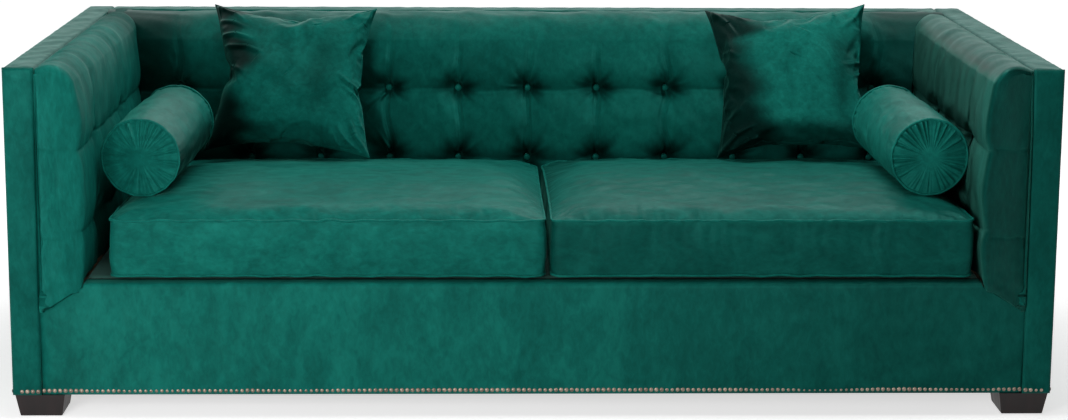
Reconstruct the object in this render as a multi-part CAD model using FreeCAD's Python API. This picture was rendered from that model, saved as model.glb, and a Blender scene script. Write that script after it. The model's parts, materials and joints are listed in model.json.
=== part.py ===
import FreeCAD, Part

import math
import os

from FreeCAD import Vector

# Tuxedo-shaped, button-tufted three-seat sofa, in millimetres.
# X runs along the sofa, Y to its back and Z up. The origin is on the floor, under the middle.

# Overall size
WALL_HALF = 1120.0  # half length over the arms at their top
SPLAY = 5.0  # how much further out each arm stands at its foot
DEPTH = 1040.0
WALL_TOP = 764.0
HEM = 50.0  # lower edge of the upholstery
FRONT = -DEPTH / 2 + 2.0  # face of the arm fronts; the nail heads stand 2 mm proud
REAR = DEPTH / 2

# Boxed outer wall, the same around the arms and the back
BAND = 66.0  # thickness, which is the width of its top band and of its front panel
SEAM_SPLAY = 9.0  # the front panel's inner seam leans out by this much at its foot
SKIN = 10.0  # cloth, wadding and card outside the frame
BAND_TOP = 12.0  # thickness of the top band
ROUND = 5.0  # rounding of the upholstered edges

# Seat base
APRON_FACE = FRONT + 6.0
APRON_TOP = 297.0
APRON_SKIN = 9.0
CORNER_SEAM = 232.0  # height at which the arm pad's lower seam meets the front panel
DECK_TOP = 303.5

# Inside pads
ARM_PAD = 98.0
ARM_COLUMNS = (-320.0, 30.0)
BACK_CROWN = 288.0
BACK_BACKING = 448.0
TUFT_DEPTH = 50.0
TUFT_PITCH = 173.0
TUFT_COLUMNS = 5  # on each side of the middle one
TUFT_ROWS = (585.0, 408.0)
PAD_FOOT = 304.0

# Hardwood frame
FRAME_FOOT = 56.0
POST = (44.0, 45.0)
POST_TOP = 748.0
RAIL = 32.0
SEAT_RAIL_TOP = 275.0
BACK_RAIL_TOP = 200.0
TOP_RAIL = 40.0
FRAME_OUT = 1108.0
RAIL_FACE = 470.0  # front rail's inner face and back rail's front face, from the middle

# Sinuous springs
SPRING_COUNT = 7
SPRING_PITCH = 265.0
SPRING_WIRE = 2.0
SPRING_HALF_WIDTH = 27.0
SPRING_TURN = 18.0
SPRING_HEIGHT = 280.0

# Legs
LEG_TOP = 106.0
LEG_FOOT = 90.0
LEG_HEIGHT = 50.0
GLIDE_R = 14.0
BOLT_R = 4.0
RUNNING = 0.1  # clearance around bolts and pins

# Decorative nails
NAIL_R = 4.6
NAIL_RISE = 2.0
NAIL_PITCH = 11.5
NAIL_HEIGHT = 59.5

# Seat cushions
SEATS = {"left": (-910.0, 20.0), "right": (36.0, 946.0)}
SEAT_FRONT = -494.0
SEAT_REAR = 270.0
SEAT_FOOT = 304.0
SEAT_SEAM_FRONT = 431.0
SEAT_SEAM_REAR = 408.0
SEAT_CROWN = 24.0
SEAT_SHOULDER = 55.0
SEAT_LIFT = (26.0, 15.0)  # rise from the seam to the front and rear shoulders
SEAT_STATIONS = (0.0, 0.012, 0.035, 0.075, 0.14, 0.26)  # shares of the length, out from each end
SEAT_FALL = 10  # the higher, the nearer to its ends the crown falls off
WELT_R = 2.8
COVER = 2.5

# Throw pillows
PILLOW_HALF = 196.0
PILLOW_THICK = 122.0
PILLOW_LEAN = 28.0
PILLOWS = {"left": (-578.0, 2.0), "right": (645.0, -2.5)}  # middle and turn in degrees
PILLOW_CENTRE_Y = 200.0
PILLOW_CENTRE_Z = 625.0

# Bolsters
BOLSTER_R = 86.0
BOLSTER_LENGTH = 430.0
BOLSTERS = {
    "left": (Vector(-859.0, -370.0, 544.0), Vector(-838.0, 60.0, 548.0)),
    "right": (Vector(870.0, -370.0, 547.5), Vector(858.0, 60.0, 550.5)),
}

# Zip at the back of each seat cushion
ZIP_LENGTH = 700.0
ZIP_HEIGHT = 356.0
ZIP_CHAIN = (2.0, 6.0)


def box(x0, x1, y0, y1, z0, z1):
    """A box between two corners."""
    return Part.makeBox(x1 - x0, y1 - y0, z1 - z0, Vector(x0, y0, z0))


def mirror_x(shape):
    """The same piece on the other arm."""
    return shape.mirror(Vector(0, 0, 0), Vector(1, 0, 0))


def mirror_y(shape):
    """The same piece at the other end of an arm."""
    return shape.mirror(Vector(0, 0, 0), Vector(0, 1, 0))


def outline(points, bulges, place):
    """Closed wire through flat points; bulges gives each side's rise to the right of its run."""
    edges = []
    for i, start in enumerate(points):
        end = points[(i + 1) % len(points)]
        a = place(*start)
        b = place(*end)
        if abs(bulges[i]) < 0.01:
            edges.append(Part.LineSegment(a, b).toShape())
            continue
        du = end[0] - start[0]
        dv = end[1] - start[1]
        length = math.hypot(du, dv)
        mid_u = (start[0] + end[0]) / 2 + bulges[i] * dv / length
        mid_v = (start[1] + end[1]) / 2 - bulges[i] * du / length
        edges.append(Part.Arc(a, place(mid_u, mid_v), b).toShape())
    return Part.Wire(edges)


def prism(points, place, run):
    """A flat outline pushed along a vector."""
    wire = outline(points, [0.0] * len(points), place)
    return Part.Face(wire).extrude(run)


def loft(sections):
    """A closed solid through sections of the same number of sides."""
    return Part.makeLoft(sections, True, True)


def at_x(x):
    """Place a flat point given as (y, z) at a station along the sofa."""
    return lambda u, v: Vector(x, u, v)


def at_y(y):
    """Place a flat point given as (x, z) at a depth."""
    return lambda u, v: Vector(u, y, v)


def at_z(z):
    """Place a flat point given as (x, y) at a height."""
    return lambda u, v: Vector(u, v, z)


def seam_x(z):
    """Distance from the middle to the front panel's inner seam at a height."""
    fall = (WALL_TOP - z) / (WALL_TOP - HEM)
    return WALL_HALF - BAND + SEAM_SPLAY * fall


def soften(shape, radius, chosen):
    """Round the edges whose midpoint the test accepts."""
    edges = [e for e in shape.Edges if chosen(e.CenterOfMass)]
    return shape.makeFillet(radius, edges)


def frame_pieces():
    """The hardwood frame, left pieces first."""
    post_y = RAIL_FACE - 7.0
    inner = FRAME_OUT - POST[0]
    side = FRAME_OUT - RAIL
    post = box(-FRAME_OUT, -inner, -post_y - POST[1], -post_y, FRAME_FOOT, POST_TOP)
    side_rail = box(-FRAME_OUT, -side, -post_y, post_y, FRAME_FOOT, SEAT_RAIL_TOP)
    top_rail = box(-FRAME_OUT, -inner, -post_y, post_y, POST_TOP - TOP_RAIL, POST_TOP)
    tack_rail = box(-FRAME_OUT + 12.0, -inner, -post_y, post_y, PAD_FOOT, PAD_FOOT + 45.0)
    board = box(-inner + 4.5, -inner + 9.5, -post_y, RAIL_FACE - 22.0, PAD_FOOT, POST_TOP - 8.0)
    front_rail = box(-inner, inner, -RAIL_FACE - RAIL, -RAIL_FACE, FRAME_FOOT, SEAT_RAIL_TOP)
    back_rail = box(-inner, inner, RAIL_FACE, RAIL_FACE + RAIL, FRAME_FOOT, BACK_RAIL_TOP)
    rear_seat_y = post_y - RAIL - 1.0
    rear_seat_rail = box(-side, side, rear_seat_y, rear_seat_y + RAIL, 225.0, SEAT_RAIL_TOP)
    cross_rail = box(-16.0, 16.0, -RAIL_FACE, RAIL_FACE, 110.0, 170.0)
    back_top_rail = box(-inner, inner, post_y, post_y + POST[1], POST_TOP - TOP_RAIL, POST_TOP)
    uprights = [
        box(x - 22.0, x + 22.0, post_y, post_y + POST[1], BACK_RAIL_TOP, POST_TOP - TOP_RAIL)
        for x in (-528.0, 0.0, 528.0)
    ]
    block = prism(
        [
            (-side, -post_y),
            (-inner, -post_y),
            (-inner, -RAIL_FACE),
            (-side + 136.0, -RAIL_FACE),
            (-side, -RAIL_FACE + 136.0),
        ],
        at_z(FRAME_FOOT),
        Vector(0, 0, 40.0),
    )
    hole = Part.makeCylinder(BOLT_R + RUNNING, 60.0, bolt_place(FRAME_FOOT - 5.0))
    block = block.cut(hole)
    blocks = [block, mirror_y(block)]
    blocks += [mirror_x(b) for b in blocks]
    return {
        "arm_front_post_left": post,
        "arm_front_post_right": mirror_x(post),
        "arm_back_post_left": mirror_y(post),
        "arm_back_post_right": mirror_x(mirror_y(post)),
        "side_rail_left": side_rail,
        "side_rail_right": mirror_x(side_rail),
        "arm_top_rail_left": top_rail,
        "arm_top_rail_right": mirror_x(top_rail),
        "arm_tack_rails": Part.makeCompound([tack_rail, mirror_x(tack_rail)]),
        "inside_arm_boards": Part.makeCompound([board, mirror_x(board)]),
        "front_rail": front_rail,
        "back_rail": back_rail,
        "rear_seat_rail": rear_seat_rail,
        "centre_cross_rail": cross_rail,
        "back_top_rail": back_top_rail,
        "back_uprights": Part.makeCompound(uprights),
        "corner_blocks": Part.makeCompound(blocks),
    }


def spring_ends():
    """Depths of a spring's two hooked ends, over the front rail and the rear seat rail."""
    front = -RAIL_FACE - RAIL / 2
    rear = RAIL_FACE - 7.0 - RAIL - 1.0 + RAIL / 2
    return front, rear


def zigzag_spring(x):
    """One sinuous wire spring from the front rail to the rear seat rail."""
    front, rear = spring_ends()
    turns = int((rear - front) / (2 * SPRING_TURN))
    radius = (rear - front) / turns / 2
    reach = SPRING_HALF_WIDTH - radius
    side = 1.0
    y = front
    edges = []
    here = Vector(x - reach, y, SPRING_HEIGHT)
    start = here
    for _ in range(turns):
        turn_start = Vector(x + side * reach, y, SPRING_HEIGHT)
        turn_top = Vector(x + side * (reach + radius), y + radius, SPRING_HEIGHT)
        turn_end = Vector(x + side * reach, y + 2 * radius, SPRING_HEIGHT)
        edges.append(Part.LineSegment(here, turn_start).toShape())
        edges.append(Part.Arc(turn_start, turn_top, turn_end).toShape())
        here = turn_end
        y += 2 * radius
        side = -side
    last = Vector(x + side * reach, y, SPRING_HEIGHT)
    edges.append(Part.LineSegment(here, last).toShape())
    wire = Part.Wire(Part.makeCircle(SPRING_WIRE, start, Vector(1, 0, 0)))
    return Part.Wire(edges).makePipeShell([wire], True, False)


def suspension_pieces():
    """Springs with their clips, webbing of the back, deck pad and dust cover."""
    half = (SPRING_COUNT - 1) / 2
    stations = [(i - half) * SPRING_PITCH for i in range(SPRING_COUNT)]
    springs = [zigzag_spring(x) for x in stations]
    clips = []
    for x in stations:
        for y in spring_ends():
            clip = box(x - 6.0, x + 6.0, y - 7.0, y + 7.0, SEAT_RAIL_TOP, SPRING_HEIGHT + 5.0)
            wire = Part.makeCylinder(
                SPRING_WIRE + RUNNING, 20.0, Vector(x - 10.0, y, SPRING_HEIGHT), Vector(1, 0, 0)
            )
            clips.append(clip.cut(wire))
    strips = [
        box(x - 30.0, x + 30.0, BACK_BACKING + 1.0, BACK_BACKING + 3.0, PAD_FOOT, POST_TOP)
        for x in (-870.0, -660.0, -396.0, -132.0, 132.0, 396.0, 660.0, 870.0)
    ]
    deck = box(-945.0, 945.0, -RAIL_FACE + 2.0, 440.0, SPRING_HEIGHT + 6.5, DECK_TOP)
    dust = box(-1005.0, 1005.0, -500.0, 500.0, FRAME_FOOT - 1.5, FRAME_FOOT - 0.5)
    return {
        "seat_springs": Part.makeCompound(springs),
        "spring_clips": Part.makeCompound(clips),
        "back_webbing": Part.makeCompound(strips),
        "deck_pad": deck,
        "dust_cover": dust,
    }


def leg_centre():
    """Middle of the front left leg."""
    return Vector(-WALL_HALF + LEG_TOP / 2, FRONT + 6.0 + LEG_TOP / 2, 0)


def bolt_place(z):
    """Axis of the front left leg's hanger bolt, inboard of the corner post."""
    centre = leg_centre()
    return Vector(centre.x + 27.0, centre.y + 19.0, z)


def leg_pieces():
    """Tapered block legs with their glides, plates and hanger bolts."""
    centre = leg_centre()
    top = LEG_TOP / 2
    foot = LEG_FOOT / 2
    sections = []
    for z, half in ((1.0, foot - 1.5), (2.5, foot), (LEG_HEIGHT, top)):
        corners = [
            (centre.x - half, centre.y - half),
            (centre.x + half, centre.y - half),
            (centre.x + half, centre.y + half),
            (centre.x - half, centre.y + half),
        ]
        sections.append(outline(corners, [0.0] * 4, at_z(z)))
    pocket = Part.makeCylinder(GLIDE_R + RUNNING, 4.2, Vector(centre.x, centre.y, 0))
    bolt_hole = Part.makeCylinder(BOLT_R + RUNNING, 40.0, bolt_place(19.5))
    leg = loft(sections).cut(pocket).cut(bolt_hole)
    glide = Part.makeCylinder(GLIDE_R, 4.0, Vector(centre.x, centre.y, 0))
    plate = box(
        centre.x - 42.0, centre.x + 42.0, centre.y - 42.0, centre.y + 42.0, LEG_HEIGHT, FRAME_FOOT
    )
    plate = plate.cut(bolt_hole)
    bolt = Part.makeCylinder(BOLT_R, 70.0, bolt_place(20.0))
    groups = {"leg": leg, "glide": glide, "plate": plate, "bolt": bolt}
    placed = {}
    for name, piece in groups.items():
        rear = mirror_y(piece)
        placed[name] = [piece, mirror_x(piece), rear, mirror_x(rear)]
    corners = ("front_left", "front_right", "rear_left", "rear_right")
    pieces = {"leg_" + c: leg for c, leg in zip(corners, placed["leg"])}
    pieces["leg_glides"] = Part.makeCompound(placed["glide"])
    pieces["leg_plates"] = Part.makeCompound(placed["plate"])
    pieces["leg_bolts"] = Part.makeCompound(placed["bolt"])
    return pieces


def wall_pieces():
    """Upholstered outer wall: outside panels, top bands and front panels."""
    band_foot = WALL_TOP - BAND_TOP
    wall_in = WALL_HALF - BAND
    panel_back = FRONT + SKIN - 0.5
    outside = prism(
        [
            (-WALL_HALF - SPLAY, HEM),
            (-WALL_HALF, band_foot),
            (-WALL_HALF + SKIN, band_foot),
            (-WALL_HALF + SKIN, HEM),
        ],
        at_y(panel_back),
        Vector(0, REAR - panel_back, 0),
    )
    panel = prism(
        [
            (-WALL_HALF - SPLAY, HEM),
            (-WALL_HALF, WALL_TOP),
            (-wall_in, WALL_TOP),
            (-seam_x(HEM), HEM),
        ],
        at_y(FRONT),
        Vector(0, panel_back - FRONT, 0),
    )
    panel = soften(panel, ROUND, lambda c: c.y < FRONT + 0.1 and c.z > HEM + 1.0)
    band = box(-WALL_HALF, -wall_in - 0.5, panel_back, REAR, band_foot, WALL_TOP)
    band = soften(band, ROUND, lambda c: c.z > WALL_TOP - 0.1 and c.y > panel_back + 1.0)
    back_band = box(-wall_in, wall_in, REAR - BAND, REAR, band_foot, WALL_TOP)
    back_band = soften(back_band, ROUND, lambda c: c.z > WALL_TOP - 0.1 and abs(c.x) < 1.0)
    outer_back = box(-WALL_HALF + SKIN, WALL_HALF - SKIN, REAR - SKIN + 1.0, REAR, HEM, band_foot)
    return {
        "outside_arm_left": outside,
        "outside_arm_right": mirror_x(outside),
        "arm_front_panel_left": panel,
        "arm_front_panel_right": mirror_x(panel),
        "arm_top_band_left": band,
        "arm_top_band_right": mirror_x(band),
        "back_top_band": back_band,
        "outside_back": outer_back,
    }


def front_apron():
    """Padded front of the seat base, rounded over the front rail, with its corners cut away."""
    y0 = APRON_FACE
    y1 = APRON_FACE + APRON_SKIN
    inner = 964.0
    run = [
        (y0, HEM),
        (y1, HEM),
        (y1, APRON_TOP - SKIN),
        (-RAIL_FACE, APRON_TOP - SKIN),
        (-RAIL_FACE, APRON_TOP),
        (y0 + SKIN, APRON_TOP),
        (y0, APRON_TOP - SKIN),
    ]
    wire = outline(run, [0.0, 0.0, 0.0, 0.0, 0.0, 2.9, 0.0], at_x(-inner))
    body = Part.Face(wire).extrude(Vector(2 * inner, 0, 0))
    wing = prism(
        [
            (-seam_x(HEM) + 0.5, HEM),
            (-inner, HEM),
            (-inner, APRON_TOP - SKIN),
            (-seam_x(CORNER_SEAM) + 0.5, CORNER_SEAM - 5.5),
        ],
        at_y(y0),
        Vector(0, APRON_SKIN, 0),
    )
    return body.fuse(wing).fuse(mirror_x(wing)).removeSplitter()


def arm_pad_section(y, face, rows, top, foot, lower, rise):
    """Section of the left arm's pad; distances are from the seam, inwards."""
    seam = -(WALL_HALF - BAND) + 0.5
    points = [
        (seam + lower, top),
        (seam + lower, foot[0]),
        (seam + face, foot[1]),
        (seam + rows, TUFT_ROWS[1]),
        (seam + rows, TUFT_ROWS[0]),
        (seam + face - 8.0, WALL_TOP - 30.0),
    ]
    bulges = [0.0, 0.0, rise * 0.5, rise, rise, 20.0]
    return outline(points, bulges, at_y(y))


def inside_arm_pad():
    """Thick pad inside the left arm, pulled in along its sewn tuft columns."""
    crown = ARM_PAD - 8.0
    slant = (CORNER_SEAM, APRON_TOP - 6.0)
    flat = (PAD_FOOT, PAD_FOOT)
    rail_front = -RAIL_FACE - RAIL - 1.0
    sections = [
        arm_pad_section(FRONT - 0.5, crown - 28.0, crown - 26.0, WALL_TOP - 12.0,
                        (slant[0] + 5.0, slant[1] - 14.0), 8.0, 3.0),
        arm_pad_section(FRONT + 5.0, crown - 12.0, crown - 8.0, WALL_TOP - 5.0,
                        (slant[0], slant[1] - 6.0), 1.0, 5.0),
        arm_pad_section(rail_front, crown - 3.0, crown, WALL_TOP - 4.0, slant, 0.0, 7.0),
        arm_pad_section(rail_front + 1.0, crown - 3.0, crown, WALL_TOP - 4.0, flat, 0.0, 7.0),
    ]
    stations = [(-460.0, 0.0)]
    for column in ARM_COLUMNS:
        stations += [(column - 110.0, 0.0), (column - 32.0, 0.25)]
        stations += [(column, 1.0), (column + 32.0, 0.25), (column + 110.0, 0.0)]
    stations += [(300.0, 0.0), (BACK_BACKING + 3.0, 0.0)]
    for y, pull in stations:
        sections.append(
            arm_pad_section(y, crown - 3.0 - 8.0 * pull, crown - 22.0 * pull,
                            WALL_TOP - 4.0, flat, 0.0, 8.0 + 8.0 * pull)
        )
    return loft(sections)


def back_section(x, pull):
    """Section of the inside back; pull runs from 0 on a crown to 1 along a button column."""
    row = BACK_CROWN + 10.0 + (TUFT_DEPTH - 10.0) * pull
    between = 10.0 + 16.0 * pull
    roll = BACK_CROWN + 18.0 + 14.0 * pull
    foot = BACK_CROWN + 8.0 + 12.0 * pull
    points = [
        (BACK_BACKING, WALL_TOP - 5.0),
        (roll, WALL_TOP - 55.0),
        (row, TUFT_ROWS[0]),
        (row, TUFT_ROWS[1]),
        (foot, PAD_FOOT),
        (BACK_BACKING, PAD_FOOT),
    ]
    bulges = [30.0, 9.0, between, between * 0.6, 0.0, 0.0]
    return outline(points, bulges, at_x(x))


def tuft_stations():
    """Where the back's button columns are, from left to right."""
    return [i * TUFT_PITCH for i in range(-TUFT_COLUMNS, TUFT_COLUMNS + 1)]


def inside_back():
    """Biscuit-tufted pad of the back, between the arm pads."""
    edge = 945.0
    shoulder = 30.0
    sections = [back_section(-edge, 0.3)]
    for x in tuft_stations():
        if x > -865.0:
            sections.append(back_section(x - TUFT_PITCH / 2, 0.0))
        sections.append(back_section(x - shoulder, 0.2))
        sections.append(back_section(x, 1.0))
        sections.append(back_section(x + shoulder, 0.2))
    sections.append(back_section(edge, 0.3))
    return loft(sections)


def button(place, outward, stalk):
    """A cloth-covered tuft button on its short stalk, its cap facing outward."""
    rim = 8.0
    rise = 4.0
    radius = (rim * rim + rise * rise) / (2 * rise)
    latitude = math.degrees(math.asin((radius - rise) / radius))
    seat = place + outward * stalk
    cap = Part.makeSphere(radius, seat - outward * (radius - rise), outward, latitude, 90, 360)
    stem = Part.makeCylinder(1.5, stalk, place, outward)
    return cap.fuse(stem)


def tuft_buttons():
    """Every tuft button of the back and of both arms."""
    stalk = 10.4
    back_y = BACK_CROWN + TUFT_DEPTH - 2.0
    buttons = []
    for x in tuft_stations():
        for z in TUFT_ROWS:
            buttons.append(button(Vector(x, back_y, z), Vector(0, -1, 0), stalk))
    arm_x = -(WALL_HALF - BAND) + 0.5 + ARM_PAD - 8.0 - 22.0 + 1.0
    for y in ARM_COLUMNS:
        for z in TUFT_ROWS:
            arm_button = button(Vector(arm_x, y, z), Vector(1, 0, 0), 6.4)
            buttons += [arm_button, mirror_x(arm_button)]
    return Part.makeCompound(buttons)


def nail_head(place, outward):
    """Domed head of one decorative nail."""
    radius = (NAIL_R * NAIL_R + NAIL_RISE * NAIL_RISE) / (2 * NAIL_RISE)
    latitude = math.degrees(math.asin((radius - NAIL_RISE) / radius))
    return Part.makeSphere(
        radius, place - outward * (radius - NAIL_RISE), outward, latitude, 90, 360
    )


def nailheads():
    """The row of nails along the front and both sides, just above the hem."""
    heads = []
    count = int((WALL_HALF - NAIL_R) / NAIL_PITCH)
    for i in range(-count, count + 1):
        x = i * NAIL_PITCH
        face = FRONT if abs(x) > seam_x(NAIL_HEIGHT) else APRON_FACE
        heads.append(nail_head(Vector(x, face, NAIL_HEIGHT), Vector(0, -1, 0)))
    side = WALL_HALF + SPLAY
    along = int((REAR - FRONT - 2 * NAIL_R) / NAIL_PITCH)
    for i in range(along + 1):
        y = FRONT + NAIL_R + 2.0 + i * NAIL_PITCH
        head = nail_head(Vector(-side, y, NAIL_HEIGHT), Vector(-1, 0, 0))
        heads += [head, mirror_x(head)]
    return Part.makeCompound(heads)


def seat_section(x, fullness, inset, trim):
    """Section of a seat cushion; fullness is the share of its crown, trim an even shrinkage."""
    front = SEAT_FRONT + inset + trim
    rear = SEAT_REAR - inset - trim
    lift_front = SEAT_LIFT[0] * fullness
    lift_rear = SEAT_LIFT[1] * fullness
    points = [
        (front, SEAT_FOOT + trim),
        (rear, SEAT_FOOT + trim),
        (rear, SEAT_SEAM_REAR - trim),
        (rear - SEAT_SHOULDER, SEAT_SEAM_REAR + lift_rear - trim),
        (front + SEAT_SHOULDER, SEAT_SEAM_FRONT + lift_front - trim),
        (front, SEAT_SEAM_FRONT - trim),
    ]
    crown = SEAT_CROWN * fullness
    bulges = [0.0, 4.0, 5.0 * fullness, crown, 6.0 * fullness, 5.0]
    return outline(points, bulges, at_x(x))


def seat_body(side, trim):
    """Crowned seat cushion with rounded corners and sides drawn in between them."""
    x0, x1 = SEATS[side]
    x0 += trim
    x1 -= trim
    width = x1 - x0
    sections = []
    for share in (*SEAT_STATIONS, 0.5, *[1 - s for s in reversed(SEAT_STATIONS)]):
        off_middle = abs(2 * share - 1)
        fullness = 1 - off_middle ** SEAT_FALL
        corner = 12.0 * max(0.0, 1 - (1 - off_middle) / 0.05)
        drawn_in = 3.0 * (1 - off_middle ** 2)
        sections.append(seat_section(x0 + width * share, fullness, corner + drawn_in, trim))
    return loft(sections)


def welt_loop(side, front_z, rear_z):
    """Piping round the edge of a seat cushion."""
    x0, x1 = SEATS[side]
    proud = 0.5
    y0 = SEAT_FRONT - proud
    y1 = SEAT_REAR + proud
    r = 16.0
    x0 -= proud
    x1 += proud
    slope = (rear_z - front_z) / (y1 - y0)

    def spot(x, y):
        return Vector(x, y, front_z + slope * (y - y0))

    knee = r * (1 - math.sqrt(0.5))
    edges = [
        Part.LineSegment(spot(x0 + r, y0), spot(x1 - r, y0)).toShape(),
        Part.Arc(spot(x1 - r, y0), spot(x1 - knee, y0 + knee), spot(x1, y0 + r)).toShape(),
        Part.LineSegment(spot(x1, y0 + r), spot(x1, y1 - r)).toShape(),
        Part.Arc(spot(x1, y1 - r), spot(x1 - knee, y1 - knee), spot(x1 - r, y1)).toShape(),
        Part.LineSegment(spot(x1 - r, y1), spot(x0 + r, y1)).toShape(),
        Part.Arc(spot(x0 + r, y1), spot(x0 + knee, y1 - knee), spot(x0, y1 - r)).toShape(),
        Part.LineSegment(spot(x0, y1 - r), spot(x0, y0 + r)).toShape(),
        Part.Arc(spot(x0, y0 + r), spot(x0 + knee, y0 + knee), spot(x0 + r, y0)).toShape(),
    ]
    ring = Part.Wire(Part.makeCircle(WELT_R, spot(x0 + r, y0), Vector(1, 0, 0)))
    return Part.Wire(edges).makePipeShell([ring], True, False)


def zip_pieces(side):
    """Zip across the back of a seat cushion: its two taped rows, its slider and its recess."""
    x0, x1 = SEATS[side]
    start = (x0 + x1 - ZIP_LENGTH) / 2
    end = start + ZIP_LENGTH
    thick, high = ZIP_CHAIN
    middle_y = SEAT_REAR + 3.0
    half = high / 2
    part_line = 0.8
    cloth = 0.4
    gap = 0.3
    plate = 1.5
    near = middle_y - thick / 2 - gap
    far = middle_y + thick / 2 + gap
    row = box(start, end, middle_y - thick / 2, middle_y + thick / 2, part_line, half)
    tape = box(start, end, middle_y - cloth, middle_y + cloth, half, 16.0)
    upper = row.fuse(tape).removeSplitter()
    rows = [upper, upper.mirror(Vector(0, 0, 0), Vector(0, 0, 1))]
    slider = box(start + 4.0, start + 18.0, near - plate, near, -half - 2.5, half + 2.5)
    slider = slider.fuse(box(start + 4.0, start + 18.0, far, far + plate, -half - 2.5, half + 2.5))
    slider = slider.fuse(box(start + 4.0, start + 7.0, near, far, -part_line + gap, part_line - gap))
    slider = slider.fuse(box(start + 7.0, start + 15.0, far + plate, far + 2 * plate, -26.0, 2.0))
    recess = box(start - 4.0, end + 4.0, near - plate - 1.0, far + 20.0, -14.0, 14.0)
    for piece in (*rows, slider, recess):
        piece.translate(Vector(0, 0, ZIP_HEIGHT))
    return rows, slider.removeSplitter(), recess


def seat_pieces(side):
    """A seat cushion: cover, filling, piping with the zip's rows, and the zip's slider."""
    rows, slider, recess = zip_pieces(side)
    outer = seat_body(side, 0.0).cut(recess)
    deeper = recess.copy()
    deeper.translate(Vector(0, -COVER, 0))
    hollow = seat_body(side, COVER).cut(deeper)
    deeper.translate(Vector(0, -0.2, 0))
    core = seat_body(side, COVER + 0.2).cut(deeper)
    welts = [
        welt_loop(side, SEAT_SEAM_FRONT, SEAT_SEAM_REAR),
        welt_loop(side, SEAT_FOOT + 6.0, SEAT_FOOT + 6.0),
    ]
    return {
        "seat_" + side + "_cover": outer.cut(hollow),
        "seat_" + side + "_core": core,
        "seat_" + side + "_welts_and_zip": Part.makeCompound(welts + rows),
        "zip_slider_" + side: slider,
    }


def pillow_body(side, trim):
    """Knife-edge throw pillow: pointed ears, edges drawn in between them, plump middle."""
    middle, turn = PILLOWS[side]
    layers = [
        (0.0, 1.0, -13.0),
        (0.18, 0.955, -5.0),
        (0.42, 0.87, 6.0),
        (0.68, 0.70, 18.0),
        (0.89, 0.44, 22.0),
        (1.0, 0.2, 11.0),
    ]
    levels = [(-t, size, bow) for t, size, bow in reversed(layers)] + layers[1:]
    thick = PILLOW_THICK / 2 - trim
    sections = []
    for t, size, bow in levels:
        half = (PILLOW_HALF - 2.5 * trim) * size
        corners = [(-half, -half), (half, -half), (half, half), (-half, half)]
        sections.append(
            outline(corners, [bow] * 4, lambda u, v, depth=t * thick: Vector(u, depth, v))
        )
    body = loft(sections)
    body.rotate(Vector(0, 0, 0), Vector(0, 1, 0), turn)
    body.rotate(Vector(0, 0, 0), Vector(1, 0, 0), -PILLOW_LEAN)
    body.translate(Vector(middle, PILLOW_CENTRE_Y, PILLOW_CENTRE_Z))
    return body


def pillow_pieces(side):
    """A throw pillow's cover and its filling."""
    cover = pillow_body(side, 0.0).cut(pillow_body(side, 2.0))
    return {
        "pillow_" + side + "_cover": cover,
        "pillow_" + side + "_filling": pillow_body(side, 2.2),
    }


def bolster_body(side, trim):
    """Round bolster: a full barrel with softly domed ends."""
    front, rear = BOLSTERS[side]
    axis = (rear - front).normalize()
    rim = BOLSTER_R - 3.0 - trim
    half = BOLSTER_LENGTH / 2 - trim
    dome = 9.0
    sphere = (rim * rim + dome * dome) / (2 * dome)
    turn = math.asin(rim / sphere) / 2
    bow = Vector(half + dome - sphere * (1 - math.cos(turn)), sphere * math.sin(turn), 0)
    corner = Vector(half, rim, 0)
    pole = Vector(half + dome, 0, 0)

    def other(point):
        return Vector(-point.x, point.y, 0)

    profile = [
        Part.LineSegment(other(pole), pole).toShape(),
        Part.Arc(pole, bow, corner).toShape(),
        Part.Arc(corner, Vector(0, rim + 4.5, 0), other(corner)).toShape(),
        Part.Arc(other(corner), other(bow), other(pole)).toShape(),
    ]
    solid = Part.Face(Part.Wire(profile)).revolve(Vector(0, 0, 0), Vector(1, 0, 0), 360)
    solid.Placement = FreeCAD.Placement(
        (front + rear) * 0.5, FreeCAD.Rotation(Vector(1, 0, 0), axis)
    )
    return solid


def bolster_pieces(side):
    """A bolster's cover with its piped rims, and its filling."""
    front, rear = BOLSTERS[side]
    axis = (rear - front).normalize()
    middle = (front + rear) * 0.5
    cover = bolster_body(side, 0.0)
    for end in (-1, 1):
        centre = middle + axis * (end * BOLSTER_LENGTH / 2)
        cover = cover.fuse(Part.makeTorus(BOLSTER_R - 1.5, WELT_R, centre, axis))
    cover = cover.cut(bolster_body(side, COVER + 2.0))
    return {
        "bolster_" + side + "_cover": cover,
        "bolster_" + side + "_filling": bolster_body(side, COVER + 2.2),
    }


def all_pieces():
    """Every node of the sofa by name."""
    pieces = {}
    pieces.update(frame_pieces())
    pieces.update(suspension_pieces())
    pieces.update(leg_pieces())
    pieces.update(wall_pieces())
    pad = inside_arm_pad()
    pieces["inside_arm_pad_left"] = pad
    pieces["inside_arm_pad_right"] = mirror_x(pad)
    pieces["inside_back"] = inside_back()
    pieces["front_apron"] = front_apron()
    pieces["tuft_buttons"] = tuft_buttons()
    pieces["nailheads"] = nailheads()
    for side in ("left", "right"):
        pieces.update(seat_pieces(side))
        pieces.update(pillow_pieces(side))
        pieces.update(bolster_pieces(side))
    return pieces


def main():
    os.makedirs("parts", exist_ok=True)
    for name, shape in all_pieces().items():
        good = shape.isValid() and all(s.Volume > 0 for s in shape.Solids)
        box_ = shape.BoundBox
        print(
            f"{name:26s} solids {len(shape.Solids):4d} ok {good}"
            f" x {box_.XMin:8.1f} {box_.XMax:8.1f} y {box_.YMin:7.1f} {box_.YMax:7.1f}"
            f" z {box_.ZMin:6.1f} {box_.ZMax:6.1f}"
        )
        shape.exportStep("parts/" + name + ".step")


if __name__ == "__main__":
    main()
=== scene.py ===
import json
import math

import bpy
import numpy as np
from mathutils import Matrix, Vector


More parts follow.
